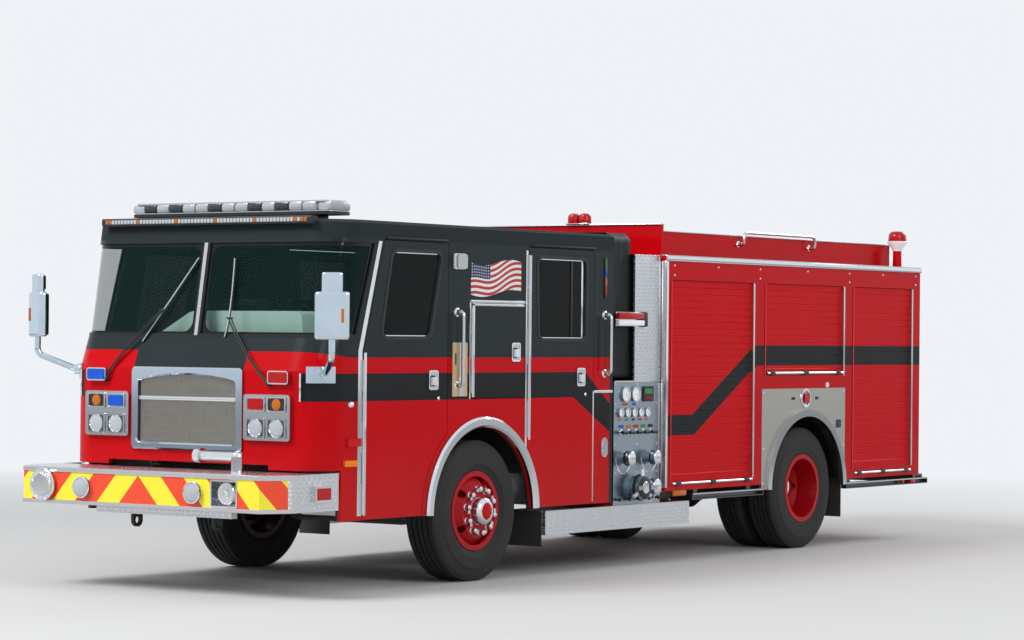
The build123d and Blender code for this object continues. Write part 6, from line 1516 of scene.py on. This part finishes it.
# %% Instrument hood
# Painted highlight: the hood's pale mint stands in for sunlight on the dashboard top.
hood_sunlit_mint = moulded("instrument hood", srgb(206, 246, 230), 0.6, 380, 0.2)
hood = Piece("instrument_hood", "cab", "cab_grey", hood_sunlit_mint, black_plastic, chrome)
front_view = [(-0.800, 1.575), (-0.780, 1.700), (-0.160, 2.030), (0.880, 2.030), (0.930, 1.575)]
hood.add(plate(front_view, "X", along(1.560), along(1.745), 0.045))
hood.sheet("X", (0.745, 1.770), (0.330, 0.200), (along(1.548), along(1.562)), 0.030, 1, (1,))
ring = [(0.012, 0.040), (0.018, 0.039), (0.018, 0.034), (0.013, 0.034)]
for dial_y in (0.650, 0.745, 0.840):
    hood.lathe(ring, (along(1.560), dial_y, 1.790), (-1, 0, 0), 28, 2, (1,), closed=True)
hood.done()

# %% [markdown]
# ## Floor, light and camera
# A pale floor and a pale world keep the paint's colour honest and give the chrome something to show. One
# large lamp stands in front and to the right, where the strongest light came from, and two weaker ones
# open up the shaded side. The camera's place was worked out from straight edges and wheel centres of the
# photograph.

# %% Floor, which fades into the backdrop far away
BACKDROP = (0.86, 0.89, 0.93)
bm = bmesh.new()
bmesh.ops.create_grid(bm, x_segments=1, y_segments=1, size=60)
floor_mesh = bpy.data.meshes.new("floor")
bm.to_mesh(floor_mesh)
bm.free()
floor = show("floor", floor_mesh)
finish = Finish("pale floor")
finish.set(Base_Color=(0.58, 0.58, 0.57), Roughness=0.75 + finish.noise(4, 4) * 0.1)
CLEAR_FLOOR, FADE = 7, 10
reach = distance(finish.x, finish.y)
far = ((reach - CLEAR_FLOOR) / FADE).at_least(0).at_most(1) * finish.node("ShaderNodeLightPath", {})
glow = finish.node("ShaderNodeEmission", {}, BACKDROP)
mixed = finish.node("ShaderNodeMixShader", {}, far, Value(finish, finish.shader.outputs[0]), glow)
finish.tree.links.new(mixed.output, finish.surface)
floor.data.materials.append(finish.material)

# %% World: soft light, and a pale backdrop for the camera, chrome and glass
world = bpy.data.worlds.new("studio")
world.use_nodes = True
bpy.context.scene.world = world
tree = world.node_tree
background = tree.nodes["Background"]
path = tree.nodes.new("ShaderNodeLightPath")
seen = path.outputs["Is Camera Ray"]
for name in ("Is Glossy Ray", "Is Transmission Ray"):
    either = tree.nodes.new("ShaderNodeMath")
    either.operation = "MAXIMUM"
    tree.links.new(seen, either.inputs[0])
    tree.links.new(path.outputs[name], either.inputs[1])
    seen = either.outputs[0]
tone = tree.nodes.new("ShaderNodeMix")
tone.data_type = "RGBA"
tone.inputs[6].default_value = (0.5, 0.52, 0.55, 1)
tone.inputs[7].default_value = (*BACKDROP, 1)
tree.links.new(seen, tone.inputs[0])
tree.links.new(tone.outputs[2], background.inputs["Color"])

# %% Lamps
LAMPS = [("key", (14, -5, 14), 2600), ("side", (5, 17, 9), 950), ("back", (-16, 3, 10), 900)]
AIM, LAMP_SIZE = Vector((0, 0, 1.2)), 7
for name, place, watts in LAMPS:
    light = bpy.data.lights.new(name, "AREA")
    light.energy, light.size = watts, LAMP_SIZE
    holder = show(name, light)
    holder.location = place
    holder.rotation_euler = (AIM - Vector(place)).to_track_quat("-Z", "Y").to_euler()

# %% Camera
YAW, PITCH, ROLL, STAND = -2.5277, 0.0053, 0.0096, (along(18.662), 14.656, 1.865)
FOCAL_PIXELS, PICTURE_WIDTH, SENSOR = 3027.6, 1024, 36
ahead = Vector((math.cos(YAW) * math.cos(PITCH), math.sin(YAW) * math.cos(PITCH), math.sin(PITCH)))
right = ahead.cross((0, 0, 1)).normalized()
up = right.cross(ahead)
level_right = right * math.cos(ROLL) + up * math.sin(ROLL)
level_up = up * math.cos(ROLL) - right * math.sin(ROLL)
camera_data = bpy.data.cameras.new("camera")
camera_data.sensor_width = SENSOR
camera_data.lens = FOCAL_PIXELS / PICTURE_WIDTH * SENSOR
camera = show("camera", camera_data)
turn = Matrix((level_right, level_up, -ahead)).transposed().to_4x4()
camera.matrix_world = Matrix.Translation(STAND) @ turn
bpy.context.scene.camera = camera
bpy.context.scene.view_settings.view_transform = "Standard"
print("lens:", round(camera_data.lens, 2), "mm")
